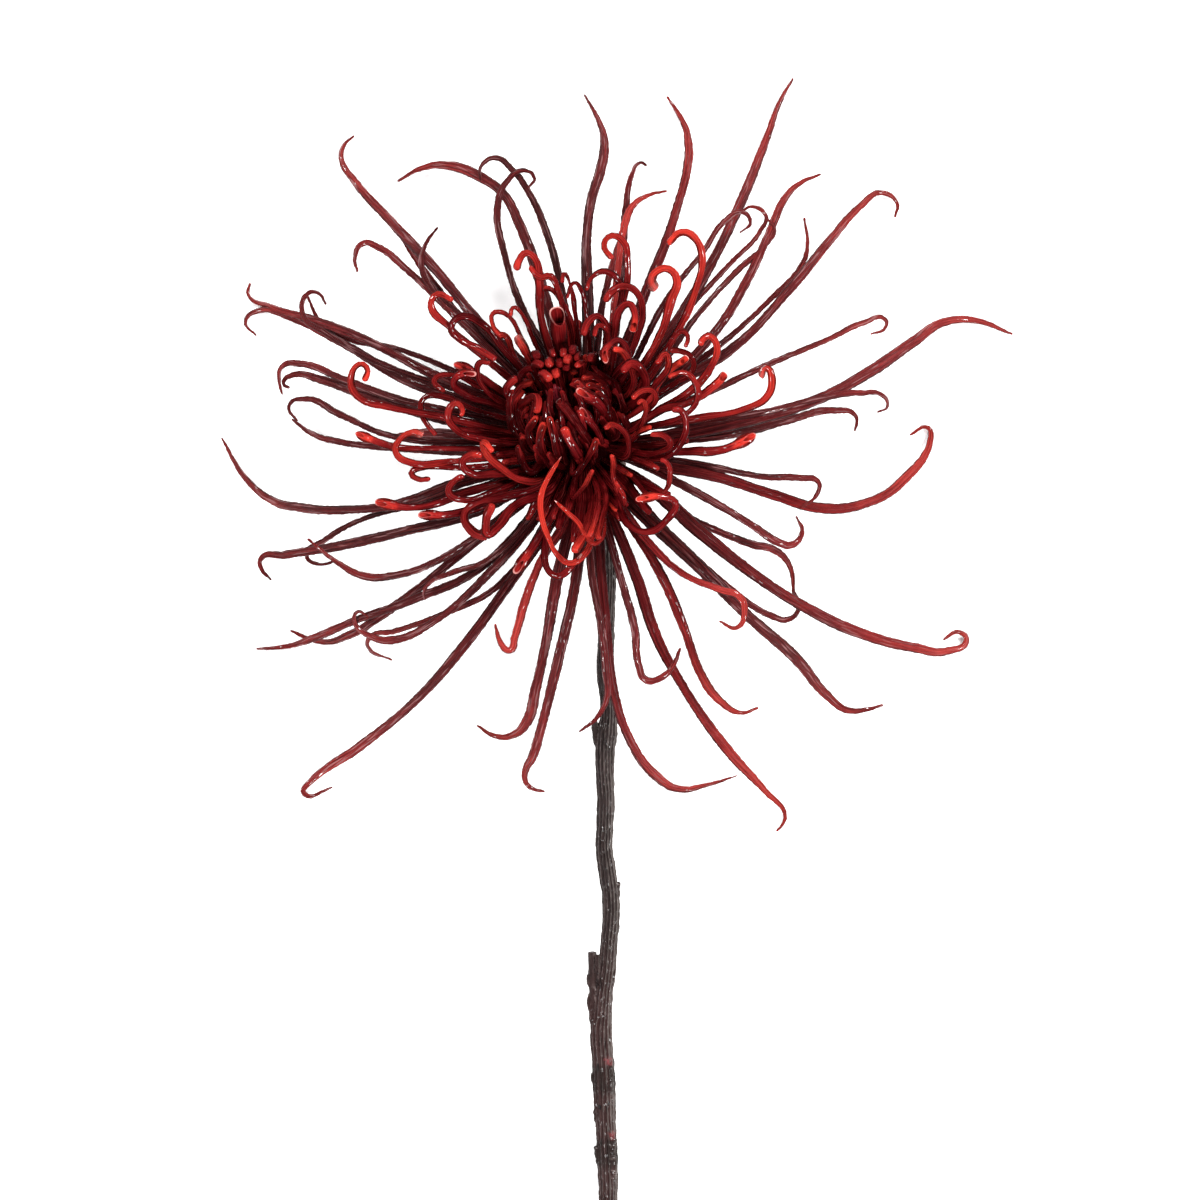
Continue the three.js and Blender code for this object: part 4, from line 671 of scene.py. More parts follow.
# Kinds of tip: the grooves along the floret, the rings of its end as rows of step, across and
# through, what finishes it, its width as a share of the floret's and how much it brightens.
TIPS = {
    "blunt": {
        "grooves": HOOK_GROOVES, "end": blunt_end, "share": 0.84, "glow": 0.0,
        "profile": [(0.5, 1.08, 1.08), (0.45, 1.06, 1.04), (0.3, 0.97, 0.96)],
    },
    "open": {
        "grooves": [], "end": open_end, "share": 0.95, "glow": 0.1,
        "profile": [
            (0.6, 1.06, 1.02), (0.5, 1.06, 1.02), (0.4, 1.05, 1.02), (0.2, 1.03, 1.02),
            (0.06, 1.0, 1.02),
        ],
    },
    "slit": {
        "grooves": [], "end": slit_end, "share": 1.0, "glow": 0.22,
        "profile": [
            (0.4, 1.08, 1.0), (0.4, 1.15, 1.02), (0.4, 1.16, 1.04), (0.4, 1.12, 1.03),
            (0.4, 1.05, 1.02), (0.4, 1.0, 1.0), (0.35, 0.93, 0.98), (0.3, 0.84, 0.92),
            (0.2, 0.76, 0.86), (0.05, 0.97, 0.97),
        ],
    },
    "lobe": {
        "grooves": HOOK_GROOVES, "end": lobed_end, "share": 0.72, "glow": 0.0,
        "profile": [
            (0.6, 1.14, 0.86), (0.55, 1.16, 0.8), (0.5, 1.12, 0.82), (0.45, 1.04, 0.9),
            (0.35, 0.94, 0.95),
        ],
    },
    "thorn": {
        "grooves": HOOK_GROOVES, "end": thorn_end, "share": 0.5, "glow": 0.0,
        "profile": [
            (0.8, 0.93, 0.93), (0.9, 0.86, 0.86), (0.9, 0.78, 0.78), (0.9, 0.68, 0.68),
            (0.8, 0.56, 0.56),
        ],
    },
}


def tipped_quill(kind, rings=HOOK_RINGS):
    """A straight hooked or crown floret with one of the kinds of tip."""
    tip = TIPS[kind]
    quill = straight_quill(kind + "_quill", HOOK_SIDES, rings, HOOK_THICKNESS, tip["grooves"])
    with editing(quill):
        pick_end(quill)
        extrude_profile(tip["profile"])
        tip["end"](quill)
    return quill


LONG_SIDES = 16
LONG_RINGS = 144
LONG_THICKNESS = 0.64
LONG_GROOVES = [(0.191, 0.085, 1), (-0.191, 0.085, 1), (0.0, 0.06, -1)]


def strap_quill():
    """A long floret: a flattened quill with ribs along its top and a fine tip."""
    quill = straight_quill("strap", LONG_SIDES, LONG_RINGS, LONG_THICKNESS, LONG_GROOVES)
    with editing(quill):
        pick_end(quill)
        round_off(1.6)
    return quill


# ---- growing a floret along its route ---------------------------------------------------------
STREAK_SHIFT = 7.3  # between one floret's streaks and the next one's
TIP_GLOWING = (0.94, 1.3)  # where on a straight floret its tip starts to brighten, and ends
SMOOTH_UNDER = math.radians(70)
CORE_SIDES = 48
# A core counts as a floret's root end, so it takes nearly the full painted root shade.
CORE_GROWTH = 0.1  # how far along a floret a core counts


def guide_curve(points, tilt, twist, upright):
    """A smooth curve through the points, on which a straight piece is bent."""
    bpy.ops.object.select_all(action="DESELECT")
    bpy.ops.curve.primitive_bezier_curve_add(location=(0, 0, 0))
    guide = bpy.context.object
    curve = guide.data
    curve.dimensions = "3D"
    curve.twist_mode = "Z_UP" if upright else "MINIMUM"
    curve.resolution_u = 16
    curve.use_stretch = True
    curve.use_deform_bounds = True
    spline = curve.splines[0]
    spline.bezier_points.add(len(points) - 2)
    for i, (knot, point) in enumerate(zip(spline.bezier_points, points)):
        knot.co = placed(point)
        knot.handle_left_type = "AUTO"
        knot.handle_right_type = "AUTO"
        knot.tilt = tilt + twist * i / (len(points) - 1)
    return guide


def coordinates(mesh, field="co"):
    """The places or normals of a mesh's vertices, one row for each."""
    values = np.empty(3 * len(mesh.vertices))
    mesh.vertices.foreach_get(field, values)
    return values.reshape(-1, 3)


def mark(mesh, name, values):
    """Stores one number or one vector for each vertex, for the materials to read."""
    kind, field = ("FLOAT", "value") if values.ndim == 1 else ("FLOAT_VECTOR", "vector")
    layer = mesh.attributes.new(name, kind, "POINT")
    layer.data.foreach_set(field, values.astype(np.float32).ravel())


def apply_modifier(piece, kind, **settings):
    """Adds a modifier with its settings to a piece and applies it."""
    select_only(piece)
    modifier = piece.modifiers.new(kind.lower(), kind)
    for key, value in settings.items():
        setattr(modifier, key, value)
    bpy.ops.object.modifier_apply(modifier=modifier.name)


def grow(straight, points, width_at, tone, seed, tilt=0.0, twist=0.0, upright=True, tip_glow=0.0):
    """A copy of a straight piece, tapered to its width and bent along its points."""
    copy = straight.copy()
    copy.data = straight.data.copy()
    bpy.context.collection.objects.link(copy)
    mesh = copy.data
    along, across, through = coordinates(mesh).T
    lengths = running_lengths(points)
    span = lengths[-1]
    tip = along.max() - 1
    tip_share = min(tip * float(width_at(1.0)) / span, LONGEST_TIP)
    beyond = (along - 1) / max(tip, 1e-6) * tip_share
    share = np.where(along <= 1, along * (1 - tip_share), 1 - tip_share + beyond)
    room = np.interp(share, lengths / span, BEND_ROOM * bend_radii(points))
    waves = np.sin(2 * math.pi * (SWELLS * share + scatter(seed)))
    swell = 1 + SWELL * waves * ramp(share, 0, 0.1)
    width = np.minimum(width_at(share) * swell, np.maximum(room, TIP_WIDTH))
    shaped = np.stack([share * span, across * width, through * width], 1) * MM
    mesh.vertices.foreach_set("co", shaped.ravel())
    apart = STREAK_SHIFT * seed
    glow = tone + tip_glow * ramp(along, *TIP_GLOWING)
    mark(mesh, "strand", np.stack([across * width + apart, through * width, share * span], 1))
    mark(mesh, "growth", np.stack([share, glow, across], 1))
    guide = guide_curve(points, tilt, twist, upright)
    apply_modifier(copy, "CURVE", object=guide, deform_axis="POS_X")
    bpy.data.curves.remove(guide.data)
    return copy


def join(pieces, name):
    """Joins pieces into one, under a new name."""
    select_only(*pieces)
    bpy.ops.object.join()
    joined = bpy.context.object
    joined.name = name
    joined.data.name = name
    return joined


def roughen(piece, grain, depth):
    """Gives a surface small uneven swellings of a grain size and depth in metres."""
    texture = bpy.data.textures.new(piece.name + "_grain", "CLOUDS")
    texture.noise_scale = grain
    texture.noise_depth = 1
    apply_modifier(
        piece, "DISPLACE", texture=texture, texture_coords="LOCAL", strength=depth, mid_level=0.5,
    )


def rest_on_surface(piece):
    """Flattens the underside of what lies on the surface, so that nothing is below it."""
    places = coordinates(piece.data)
    places[:, 2] = np.maximum(places[:, 2], 0)
    piece.data.vertices.foreach_set("co", places.ravel())


def settle(piece, node, material):
    """Smooths a finished piece, gives it its material and puts it in its node's place."""
    select_only(piece)
    bpy.ops.object.shade_smooth_by_angle(angle=SMOOTH_UNDER)
    mark(piece.data, "upward", coordinates(piece.data, "normal")[:, 2])
    piece.data.materials.clear()
    piece.data.materials.append(material)
    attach(piece, BODY)
    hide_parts(node)


def discard(*pieces):
    """Removes straight pieces once all their copies are grown."""
    for piece in pieces:
        bpy.data.meshes.remove(piece.data)


def turned_core(name, profile, tone=0.0):
    """A body about the head's axis: each radius and height of the profile is a ring."""
    bpy.ops.object.select_all(action="DESELECT")
    radius, height = profile[0]
    bpy.ops.mesh.primitive_circle_add(
        vertices=CORE_SIDES, radius=radius, fill_type="NGON", location=(0, 0, height),
    )
    core = bpy.context.object
    core.name = name
    bpy.ops.object.transform_apply(location=True, rotation=True, scale=True)
    with editing(core):
        bpy.ops.mesh.select_all(action="SELECT")
        for new_radius, new_height in profile[1:]:
            step = new_height - height
            bpy.ops.mesh.extrude_region_move(TRANSFORM_OT_translate={"value": (0, 0, step)})
            size = new_radius / radius
            bpy.ops.transform.resize(value=(size, size, 1), center_override=(0, 0, new_height))
            radius, height = new_radius, new_height
        bpy.ops.mesh.select_all(action="SELECT")
        bpy.ops.mesh.normals_make_consistent(inside=False)
    scale = Matrix.Scale(MM, 4)
    place = Matrix.Translation(BLOOM + HEAD) @ HEAD_TURN.to_matrix().to_4x4()
    core.data.transform(scale @ place)
    plain_marks(core, tone)
    return core


def plain_marks(piece, tone):
    """The marks that the floret finish reads, on a core that has no florets' shape."""
    places = coordinates(piece.data)
    count = len(places)
    mark(piece.data, "strand", places / MM)
    mark(piece.data, "growth", np.tile([CORE_GROWTH, tone, 0.0], (count, 1)))
    mark(piece.data, "groove", np.zeros(count))
    mark(piece.data, "pale", np.zeros(count))


# ---- materials --------------------------------------------------------------------------------
class Wire:
    """An output socket in shader maths: its operators add Math nodes."""

    def __init__(self, finish, socket):
        self.finish = finish
        self.socket = socket

    def math(self, operation, *values, clamp=False):
        settings = {"operation": operation, "use_clamp": clamp}
        return self.finish.node("ShaderNodeMath", settings, dict(enumerate(values)))

    def __add__(self, other):
        return self.math("ADD", self, other)

    __radd__ = __add__

    def __sub__(self, other):
        return self.math("SUBTRACT", self, other)

    def __rsub__(self, other):
        return self.math("SUBTRACT", other, self)

    def __mul__(self, other):
        return self.math("MULTIPLY", self, other)

    __rmul__ = __mul__

    def __pow__(self, other):
        return self.math("POWER", self, other)

    def __abs__(self):
        return self.math("ABSOLUTE", self)

    def clamped(self):
        return self.math("ADD", self, 0.0, clamp=True)


class Finish:
    """A material under construction."""

    def __init__(self, name):
        self.material = bpy.data.materials.new(name)
        self.material.use_nodes = True
        self.tree = self.material.node_tree
        self.tree.nodes.clear()
        self.surface = self.tree.nodes.new("ShaderNodeBsdfPrincipled")
        output = self.tree.nodes.new("ShaderNodeOutputMaterial")
        self.tree.links.new(self.surface.outputs[0], output.inputs[0])

    def node(self, kind, settings=None, sockets=None, output=0):
        """Adds a node: its settings, its sockets' values or wires, and which output to use."""
        made = self.tree.nodes.new(kind)
        for key, value in (settings or {}).items():
            if key == "stops":
                self.set_stops(made.color_ramp, value)
            else:
                setattr(made, key, value)
        for key, value in (sockets or {}).items():
            self.feed(made.inputs[key], value)
        return Wire(self, made.outputs[output])

    def feed(self, socket, value):
        if isinstance(value, Wire):
            self.tree.links.new(value.socket, socket)
        else:
            socket.default_value = value

    @staticmethod
    def set_stops(color_ramp, stops):
        while len(color_ramp.elements) < len(stops):
            color_ramp.elements.new(1)
        for element, (place, color) in zip(color_ramp.elements, stops):
            element.position = place
            element.color = (*color, 1)

    def set(self, **sockets):
        """Feeds the surface's sockets, named with _ for a space."""
        for key, value in sockets.items():
            self.feed(self.surface.inputs[key.replace("_", " ")], value)

    def coordinate(self):
        """Object coordinates, in metres in the part's frame."""
        return self.node("ShaderNodeTexCoord", output="Object")

    def attribute(self, name, output="Fac"):
        return self.node("ShaderNodeAttribute", {"attribute_name": name}, output=output)

    def parts(self, vector):
        """The x, y and z of a vector."""
        split = self.node("ShaderNodeSeparateXYZ", sockets={0: vector})
        outputs = split.socket.node.outputs
        return [Wire(self, outputs[i]) for i in range(3)]

    def noise(self, vector, scale, detail=2.0, roughness=0.5):
        """Smooth noise about 0.5."""
        sockets = {"Vector": vector, "Scale": scale, "Detail": detail, "Roughness": roughness}
        return self.node("ShaderNodeTexNoise", sockets=sockets)

    def fibres(self, vector, grain, detail=2.0, roughness=0.5):
        """Smooth noise about 0.5 with a grain of its own along each axis."""
        scaled = self.node("ShaderNodeMapping", sockets={"Vector": vector, "Scale": grain})
        return self.noise(scaled, 1.0, detail, roughness)

    def step(self, value, low, high):
        """0 below low, 1 above high, smooth between."""
        sockets = {"Value": value, "From Min": low, "From Max": high}
        return self.node("ShaderNodeMapRange", {"interpolation_type": "SMOOTHSTEP"}, sockets)

    def ramp(self, value, stops):
        return self.node("ShaderNodeValToRGB", {"stops": stops}, {0: value})

    def mix(self, share, first, second):
        """Two colours mixed; the second one's share is from 0 to 1."""
        first, second = (c if isinstance(c, Wire) else (*c, 1) for c in (first, second))
        sockets = {0: share, 6: first, 7: second}
        return self.node("ShaderNodeMix", {"data_type": "RGBA"}, sockets, output=2)

    def bump(self, height, depth):
        return self.node("ShaderNodeBump", sockets={"Height": height, "Distance": depth})


# Grain of the florets' patterns across, through and along them, per mm.
STREAKS = (3.2, 3.2, 0.12)
BLOTCHES = (0.5, 0.5, 0.16)
FINE_GRAIN = (7.0, 7.0, 1.6)
WET_SPOTS = (4.0, 4.0, 0.7)
HAIRLINES = (5.5, 5.5, 0.09)
GLINTS = (2.6, 2.6, 0.15)

RIB_HIGHLIGHT = (0.34, 0.045, 0.04)
FILM_AND_GLINT = (0.38, 0.19, 0.19)
GLINT_SPECK = (0.6, 0.26, 0.24)
PALE_LIP = (0.74, 0.38, 0.34)


def floret_finish(
    name, colors, *, glow, glow_start, root_shade, root_reach, roughness, specular, coat,
    streak_depth, film_share=0.0,
):
    """Wine to scarlet quills, brighter to the tip, with painted shade at roots, grooves and sides.

    A pale film is mixed over the darker florets, further out, with painted highlights in thin lines.
    """
    finish = Finish(name)
    strand = finish.attribute("strand", "Vector")
    along, tone, across = finish.parts(finish.attribute("growth", "Vector"))
    groove = finish.attribute("groove")
    pale = finish.attribute("pale")
    streaks = finish.fibres(strand, STREAKS, 3.0, 0.6)
    blotches = finish.fibres(strand, BLOTCHES)
    fine = finish.fibres(strand, FINE_GRAIN)

    shade = tone + finish.step(along, glow_start, 1.0) * glow
    # Painted shade towards the root, deep in the head, partly also the florets' own darker base.
    shade = shade - (1 - finish.step(along, 0.02, root_reach)) * root_shade
    shade = shade + (streaks - 0.5) * 0.6 + (blotches - 0.5) * 0.4
    color = finish.ramp(shade.clamped(), colors)

    # Painted highlights: thin pale pink lines along the ribs.
    lines = finish.fibres(strand, HAIRLINES, 1.0)
    grown = finish.step(tone, 0.0, 0.1)  # 0 on the cores, which have no streaks
    color = finish.mix(finish.step(lines, 0.56, 0.7) * grown * 0.22, color, RIB_HIGHLIGHT)

    # Painted shade: darker along the florets' sides, in their grooves and in thin troughs between ribs.
    rim = finish.step(abs(across), 0.31, 0.46)
    trough_shade = 1 - finish.step(lines, 0.3, 0.43)
    shadow = (rim * 0.75 + groove * 0.3 + trough_shade * 0.4).clamped()
    color = finish.mix(shadow, color, colors[0][1])

    film = finish.step(along, 0.15, 0.6) * (1 - finish.step(tone, 0.48, 0.62)) * film_share
    # Painted highlights: thin glinting lines in the film's pale colour.
    glints = finish.step(finish.fibres(strand, GLINTS, 1.0), 0.58, 0.67)
    color = finish.mix(film * (1 + glints * 10), color, FILM_AND_GLINT)

    # Painted highlights: sparse tiny pale specks that stand for glints.
    glint_specks = finish.step(finish.noise(strand, 2.6, 1.0), 0.79, 0.86) * grown
    color = finish.mix(glint_specks * 0.25, color, GLINT_SPECK)
    color = finish.mix(pale * 0.8, color, PALE_LIP)

    wet = finish.step(finish.fibres(strand, WET_SPOTS), 0.54, 0.64)
    wet = wet * finish.step(finish.attribute("upward"), 0.62, 0.86)
    wet = wet * finish.step(tone, 0.2, 0.38) * finish.step(along, 0.2, 0.7)
    finish.set(
        Base_Color=color,
        Roughness=roughness + (fine - 0.5) * 0.2,
        Normal=finish.bump(streaks * 0.7 + fine * 0.3 - groove * 0.8, streak_depth),
        Coat_Weight=wet * coat,
        Coat_Roughness=0.09,
        Coat_IOR=1.9,
        Specular_IOR_Level=specular,
    )
    return finish.material


# Grain of the bark's patterns along X, Y and Z, per metre; the stem runs along Y.
RIDGES = (900, 16, 900)
FIBRES = (3200, 220, 3200)
DOTS = (1600, 1500, 1600)
PATCHES = (420, 20, 420)
CRACKS = (1500, 90, 1500)

BARK_DARK = (0.006, 0.0035, 0.0032)
BARK_LIGHT = (0.06, 0.043, 0.041)
CREST_HIGHLIGHT = (0.18, 0.142, 0.134)
LOW_END = (0.05, 0.013, 0.012)
LIT_FLANK = (0.13, 0.11, 0.1)
CRACK = (0.003, 0.002, 0.002)
BELOW_NODE = (0.009, 0.006, 0.005)


def bark_finish(settings):
    """Grey-brown bark with lengthwise ridges, redder and knotted towards the cut, painted lighter on
    crests and +X flank.
    """
    finish = Finish("bark")
    place = finish.coordinate()
    x, y, _ = finish.parts(place)
    groove = finish.attribute("groove")
    ridges = finish.fibres(place, RIDGES, 3.0, 0.65)
    fibres = finish.fibres(place, FIBRES, 3.0, 0.6)
    grains = finish.noise(place, 1400, 3.0, 0.6)
    dots = finish.fibres(place, DOTS, 1.0)
    # The bark's own streaks, a little darker in the grooves between ridges as painted shade.
    color = finish.ramp(
        ridges * 0.55 + fibres * 0.45 + (0.6 - groove) * 0.12,
        [(0.32, BARK_DARK), (0.55, settings.bark_color), (0.8, BARK_LIGHT)],
    )

    # Painted highlights: pale lines with dotted glints along the ridge crests.
    crest_highlight = (1 - finish.step(groove, 0.04, 0.4)) * (0.4 + finish.step(dots, 0.45, 0.65) * 0.6)
    crest_highlight = crest_highlight * finish.step(finish.fibres(place, PATCHES), 0.4, 0.6)
    color = finish.mix(crest_highlight * 0.8, color, CREST_HIGHLIGHT)
    low_end = 1 - finish.step(y, -0.085, -0.055)
    color = finish.mix(low_end * 0.28, color, LOW_END)
    # Painted light: the flank that faces +X, towards the key lamp, is paler.
    facing = finish.node("ShaderNodeNewGeometry", output="Normal")
    lit_flank = finish.step(finish.parts(facing)[0], 0.36, 0.62) * (0.3 + ridges * 0.35)
    color = finish.mix(lit_flank, color, LIT_FLANK)
    cracks = finish.step(finish.fibres(place, CRACKS, 1.0), 0.64, 0.69)
    color = finish.mix(cracks * low_end * 0.9, color, CRACK)

    for spot_x, spot_y in NODE_SPOTS:
        off_x = x - (spot_x + BLOOM.x) * MM
        off_y = y - (spot_y + BLOOM.y) * MM
        distance = (off_x ** 2.0 + off_y ** 2.0) ** 0.5
        near = 1 - finish.step(distance + (grains - 0.5) * 0.003, 0.0001, 0.0014)
        color = finish.mix(near * 0.75, color, settings.node_color)
        below = finish.step(off_y, -0.0095, -0.0065) * (1 - finish.step(off_y, -0.002, -0.0006))
        color = finish.mix(below * finish.step(ridges, 0.3, 0.5) * 0.7, color, BELOW_NODE)

    finish.set(
        Base_Color=color,
        Roughness=0.48 + (grains - 0.5) * 0.3,
        Normal=finish.bump(ridges * 0.6 + fibres * 0.3 + grains * 0.3 - groove * 0.3, 0.0008),
        Specular_IOR_Level=0.1,
        Coat_Weight=finish.step(dots, 0.5, 0.6) * 0.12,
        Coat_Roughness=0.12,
        Coat_IOR=2.6,
    )
    return finish.material


BRACT_VEINS = (3.0, 3.0, 0.2)
BRACT_COLORS = [(0.2, (0.035, 0.04, 0.014)), (0.8, (0.12, 0.12, 0.05))]
BRACT_EDGE = (0.1, 0.012, 0.016)


def bract_finish():
    """Dull olive bracts with wine-red edges."""
    finish = Finish("bracts")
    along, tone, across = finish.parts(finish.attribute("growth", "Vector"))
    veins = finish.fibres(finish.attribute("strand", "Vector"), BRACT_VEINS)
    color = finish.ramp((tone + (veins - 0.5) * 0.6).clamped(), BRACT_COLORS)
    edge = finish.step(abs(across), 0.25, 0.5) + finish.step(along, 0.75, 1.0)
    color = finish.mix(edge.clamped() * 0.8, color, BRACT_EDGE)
    finish.set(Base_Color=color, Roughness=0.55, Normal=finish.bump(veins, 0.0002))
    return finish.material


def floor_finish(settings):
    """Matt white board with the faintest unevenness."""
    finish = Finish("studio_floor")
    cloud = finish.noise(finish.coordinate(), 3.0)
    bright = settings.floor_color
    soft = tuple(0.98 * part for part in bright)
    finish.set(
        Base_Color=finish.ramp(cloud, [(0.3, soft), (0.7, bright)]),
        Roughness=0.8,
        Emission_Color=(1, 1, 1, 1),
        Emission_Strength=settings.floor_glow,
    )
    return finish.material


# Stops of the florets' colours, from deepest shade to brightest.
RED_STOPS = [
    (0.0, (0.0105, 0.0002, 0.0004)),
    (0.22, (0.033, 0.0008, 0.0014)),
    (0.45, (0.08, 0.0026, 0.0036)),
    (0.70, (0.185, 0.0082, 0.008)),
    (1.0, (0.46, 0.027, 0.017)),
]
LONG_STOPS = [
    (0.0, (0.0105, 0.0003, 0.0005)),
    (0.22, (0.033, 0.0013, 0.0019)),
    (0.45, (0.08, 0.0044, 0.0055)),
    (0.70, (0.188, 0.0108, 0.0115)),
    (1.0, (0.43, 0.041, 0.034)),
]
HEART_STOPS = [
    (0.0, (0.010, 0.0005, 0.001)),
    (0.4, (0.07, 0.0035, 0.007)),
    (1.0, (0.30, 0.02, 0.03)),
]


# ---- the pieces ---------------------------------------------------------------------------------
class FloretSettings(PropertyGroup):
    """Sizes and finish of the florets."""

    grain: FloatProperty(
        name="Grain", description="Size of the swellings on a long floret's surface",
        default=0.0011, min=0.0003, unit="LENGTH",
    )
    long_swelling: FloatProperty(
        name="Long swelling", description="Depth of the swellings on long florets",
        default=0.00034, min=0, unit="LENGTH",
    )
    hooked_swelling: FloatProperty(
        name="Hooked swelling", description="Depth of the swellings on hooked florets",
        default=0.00022, min=0, unit="LENGTH",
    )
    long_roughness: FloatProperty(
        name="Long roughness", description="Roughness of the satin long florets",
        default=0.42, min=0, max=1, subtype="FACTOR",
    )
    hooked_roughness: FloatProperty(
        name="Hooked roughness", description="Roughness of the glossy hooked florets",
        default=0.22, min=0, max=1, subtype="FACTOR",
    )
    tilt: FloatProperty(
        name="Tilt", description="How far florets roll to either side",
        default=0.45, subtype="ANGLE",
    )


class StemSettings(PropertyGroup):
    """Sizes and colours of the stem."""

    ridge_depth: FloatProperty(
        name="Ridge depth", description="Depth of the stem's lengthwise ridges, for its radius",
        default=0.1, min=0, max=0.3, subtype="FACTOR",
    )
    grain: FloatProperty(
        name="Grain", description="Size of the lumps of the bark",
        default=0.0018, min=0.0003, unit="LENGTH",
    )
    swelling: FloatProperty(
        name="Swelling", description="Depth of the lumps of the bark",
        default=0.0005, min=0, unit="LENGTH",
    )
    bark_color: FloatVectorProperty(
        name="Bark", description="Colour of the bark",
        subtype="COLOR", default=(0.021, 0.0132, 0.0122),
    )
    node_color: FloatVectorProperty(
        name="Nodes", description="Colour of the fresh spots above the knots",
        subtype="COLOR", default=(0.2, 0.04, 0.045),
    )


class StageSettings(PropertyGroup):
    """The floor, the lights and the camera."""

    floor_color: FloatVectorProperty(
        name="Floor", description="Colour of the floor",
        subtype="COLOR", default=(0.97, 0.97, 0.97),
    )
    floor_glow: FloatProperty(
        name="Floor glow", description="Light of the floor itself, which softens shadows",
        default=0.1, min=0,
    )
    lamp_power: FloatProperty(
        name="Lamp power", description="Power of the main lamp", default=41, unit="POWER",
    )
    camera_height: FloatProperty(
        name="Camera height", description="Height of the camera over the floor",
        default=9.0, unit="LENGTH",
    )
    view_width: FloatProperty(
        name="View width", description="Width of the view at the bloom",
        default=0.3, unit="LENGTH",
    )


def roll(index, most):
    """A floret's own roll to either side."""
    return (2 * scatter(3 * index + 1) - 1) * most


def long_route(plan, depth, sink):
    """The points of a long floret, under the parting surface."""
    def height_at(x, y, share, out):
        below = depth - LONG_CLEARANCE * ramp(out, *CLEARING) - sink * share ** SINKING
        lifted = TIP_LIFT * ramp(share, TIP_LIFTS_FROM, 1) ** 2
        return max(parting_height(x, y) + below + lifted, LYING)
    return floret_points(plan, height_at)


class LongFlorets(Operator):
    """Makes the long florets that spread under the bloom, in an upper and a lower layer"""

    bl_idname = "flower.long_florets"
    bl_label = "Long florets"

    def execute(self, context):
        settings = context.scene.floret_settings
        strap = strap_quill()
        layers = {layer: [] for layer in LAYER_DEPTHS}
        for index, (tone, width, sink, *plan) in enumerate(LONG_FLORETS):
            layer = "upper" if index % 2 else "lower"
            points = long_route(plan, LAYER_DEPTHS[layer], sink)
            turn, twist = roll(index, settings.tilt), roll(index + 9, LONG_TWIST)
            width_at = long_taper(FULLNESS * width)
            layers[layer].append(grow(strap, points, width_at, tone, index, turn, twist))
        layers["lower"].append(long_disc())
        finish = floret_finish(
            "long_floret", LONG_STOPS, glow=0.38, glow_start=0.45, root_shade=0.38, root_reach=0.55,
            roughness=settings.long_roughness, specular=0.05, coat=0.45, streak_depth=0.0006,
            film_share=0.045,
        )
        for layer, copies in layers.items():
            piece = join(copies, "long_florets_" + layer)
            roughen(piece, settings.grain, settings.long_swelling)
            rest_on_surface(piece)
            settle(piece, "long_florets", finish)
        discard(strap)
        return {"FINISHED"}


def long_disc():
    """The disc that the long florets grow from."""
    rim = DISC_RADIUS - 1
    profile = [(rim, DISC_BOTTOM), (DISC_RADIUS, -1), (DISC_RADIUS, -0.6), (rim, DISC_TOP)]
    return turned_core("disc", profile)


def standing_route(plan, foot, clearance, rise):
    """The points of a hooked or filler floret, over the parting surface."""
    def height_at(x, y, share, out):
        clear = clearance * ramp(out, *CLEARING)
        return parting_height(x, y) + foot + clear + rise * share ** RISING
    return floret_points(plan, height_at)


def hooked_floret(straight, index, row, most_tilt):
    """A hooked floret on its route, in one of three layers, with its own kind of tip."""
    kind, tone, width, rise, *plan = row
    foot = HOOKED_LAYER + HOOKED_LAYER * (index % 3)
    points = standing_route(plan, foot, HOOKED_LAYER, rise)
    tip = TIPS[kind]
    width_at = taper(QUILL_ROOT, width, 0.86, max(TIP_WIDTH, width * tip["share"]))
    loose = SLIT_ROLL if kind == "slit" else 1  # a slit stays on top
    turn = roll(index, loose * most_tilt)
    twist = roll(index + 5, HOOKED_TWIST * loose)
    return grow(straight[kind], points, width_at, tone, index, turn, twist, tip_glow=tip["glow"])


def filler_floret(straight, index, plan):
    """A dark short floret between the hooked ones."""
    points = standing_route(plan, 1 + 4 * scatter(index * 5 + 2), 0, 1 + 4 * scatter(index * 2))
    tone = 0.25 + 0.27 * scatter(index * 3 + 2)
    width_at = taper(QUILL_ROOT, FILLER_WIDTH, 0.8, 1.2)
    return grow(straight, points, width_at, tone, index + FILLER_SEED, roll(index, FILLER_ROLL))


def hooked_ring():
    """The ring that the hooked florets grow from."""
    rim, foot = RING_RADIUS - 1, DISC_TOP + GAP
    profile = [(rim, foot), (RING_RADIUS, foot + 1), (RING_RADIUS, RING_TOP - 1), (rim, RING_TOP)]
    return turned_core("ring", profile)


class HookedFlorets(Operator):
    """Makes the hooked florets that stand over the long ones"""

    bl_idname = "flower.hooked_florets"
    bl_label = "Hooked florets"

    def execute(self, context):
        settings = context.scene.floret_settings
        straight = {kind: tipped_quill(kind) for kind in TIPS}
        filler = tipped_quill("blunt", FILLER_RINGS)
        copies = [
            hooked_floret(straight, index, row, settings.tilt)
            for index, row in enumerate(HOOKED_FLORETS)
        ]
        plans = {index: filler_plan(index) for index in range(FILLER_FLORETS)}
        copies += [
            filler_floret(filler, index, plan)
            for index, plan in plans.items() if not covers_gap(plan)
        ]
        piece = join([*copies, hooked_ring()], "hooked_florets_fine")
        roughen(piece, settings.grain, settings.hooked_swelling)
        roughen(piece, 5 * settings.grain, 2 * settings.hooked_swelling)
        finish = floret_finish(
            "hooked_floret", RED_STOPS, glow=0.24, glow_start=0.55, root_shade=0.24,
            root_reach=0.66, roughness=settings.hooked_roughness, specular=0.01, coat=0.4,
            streak_depth=0.0003,
        )
        settle(piece, "hooked_florets", finish)
        discard(filler, *straight.values())
        return {"FINISHED"}


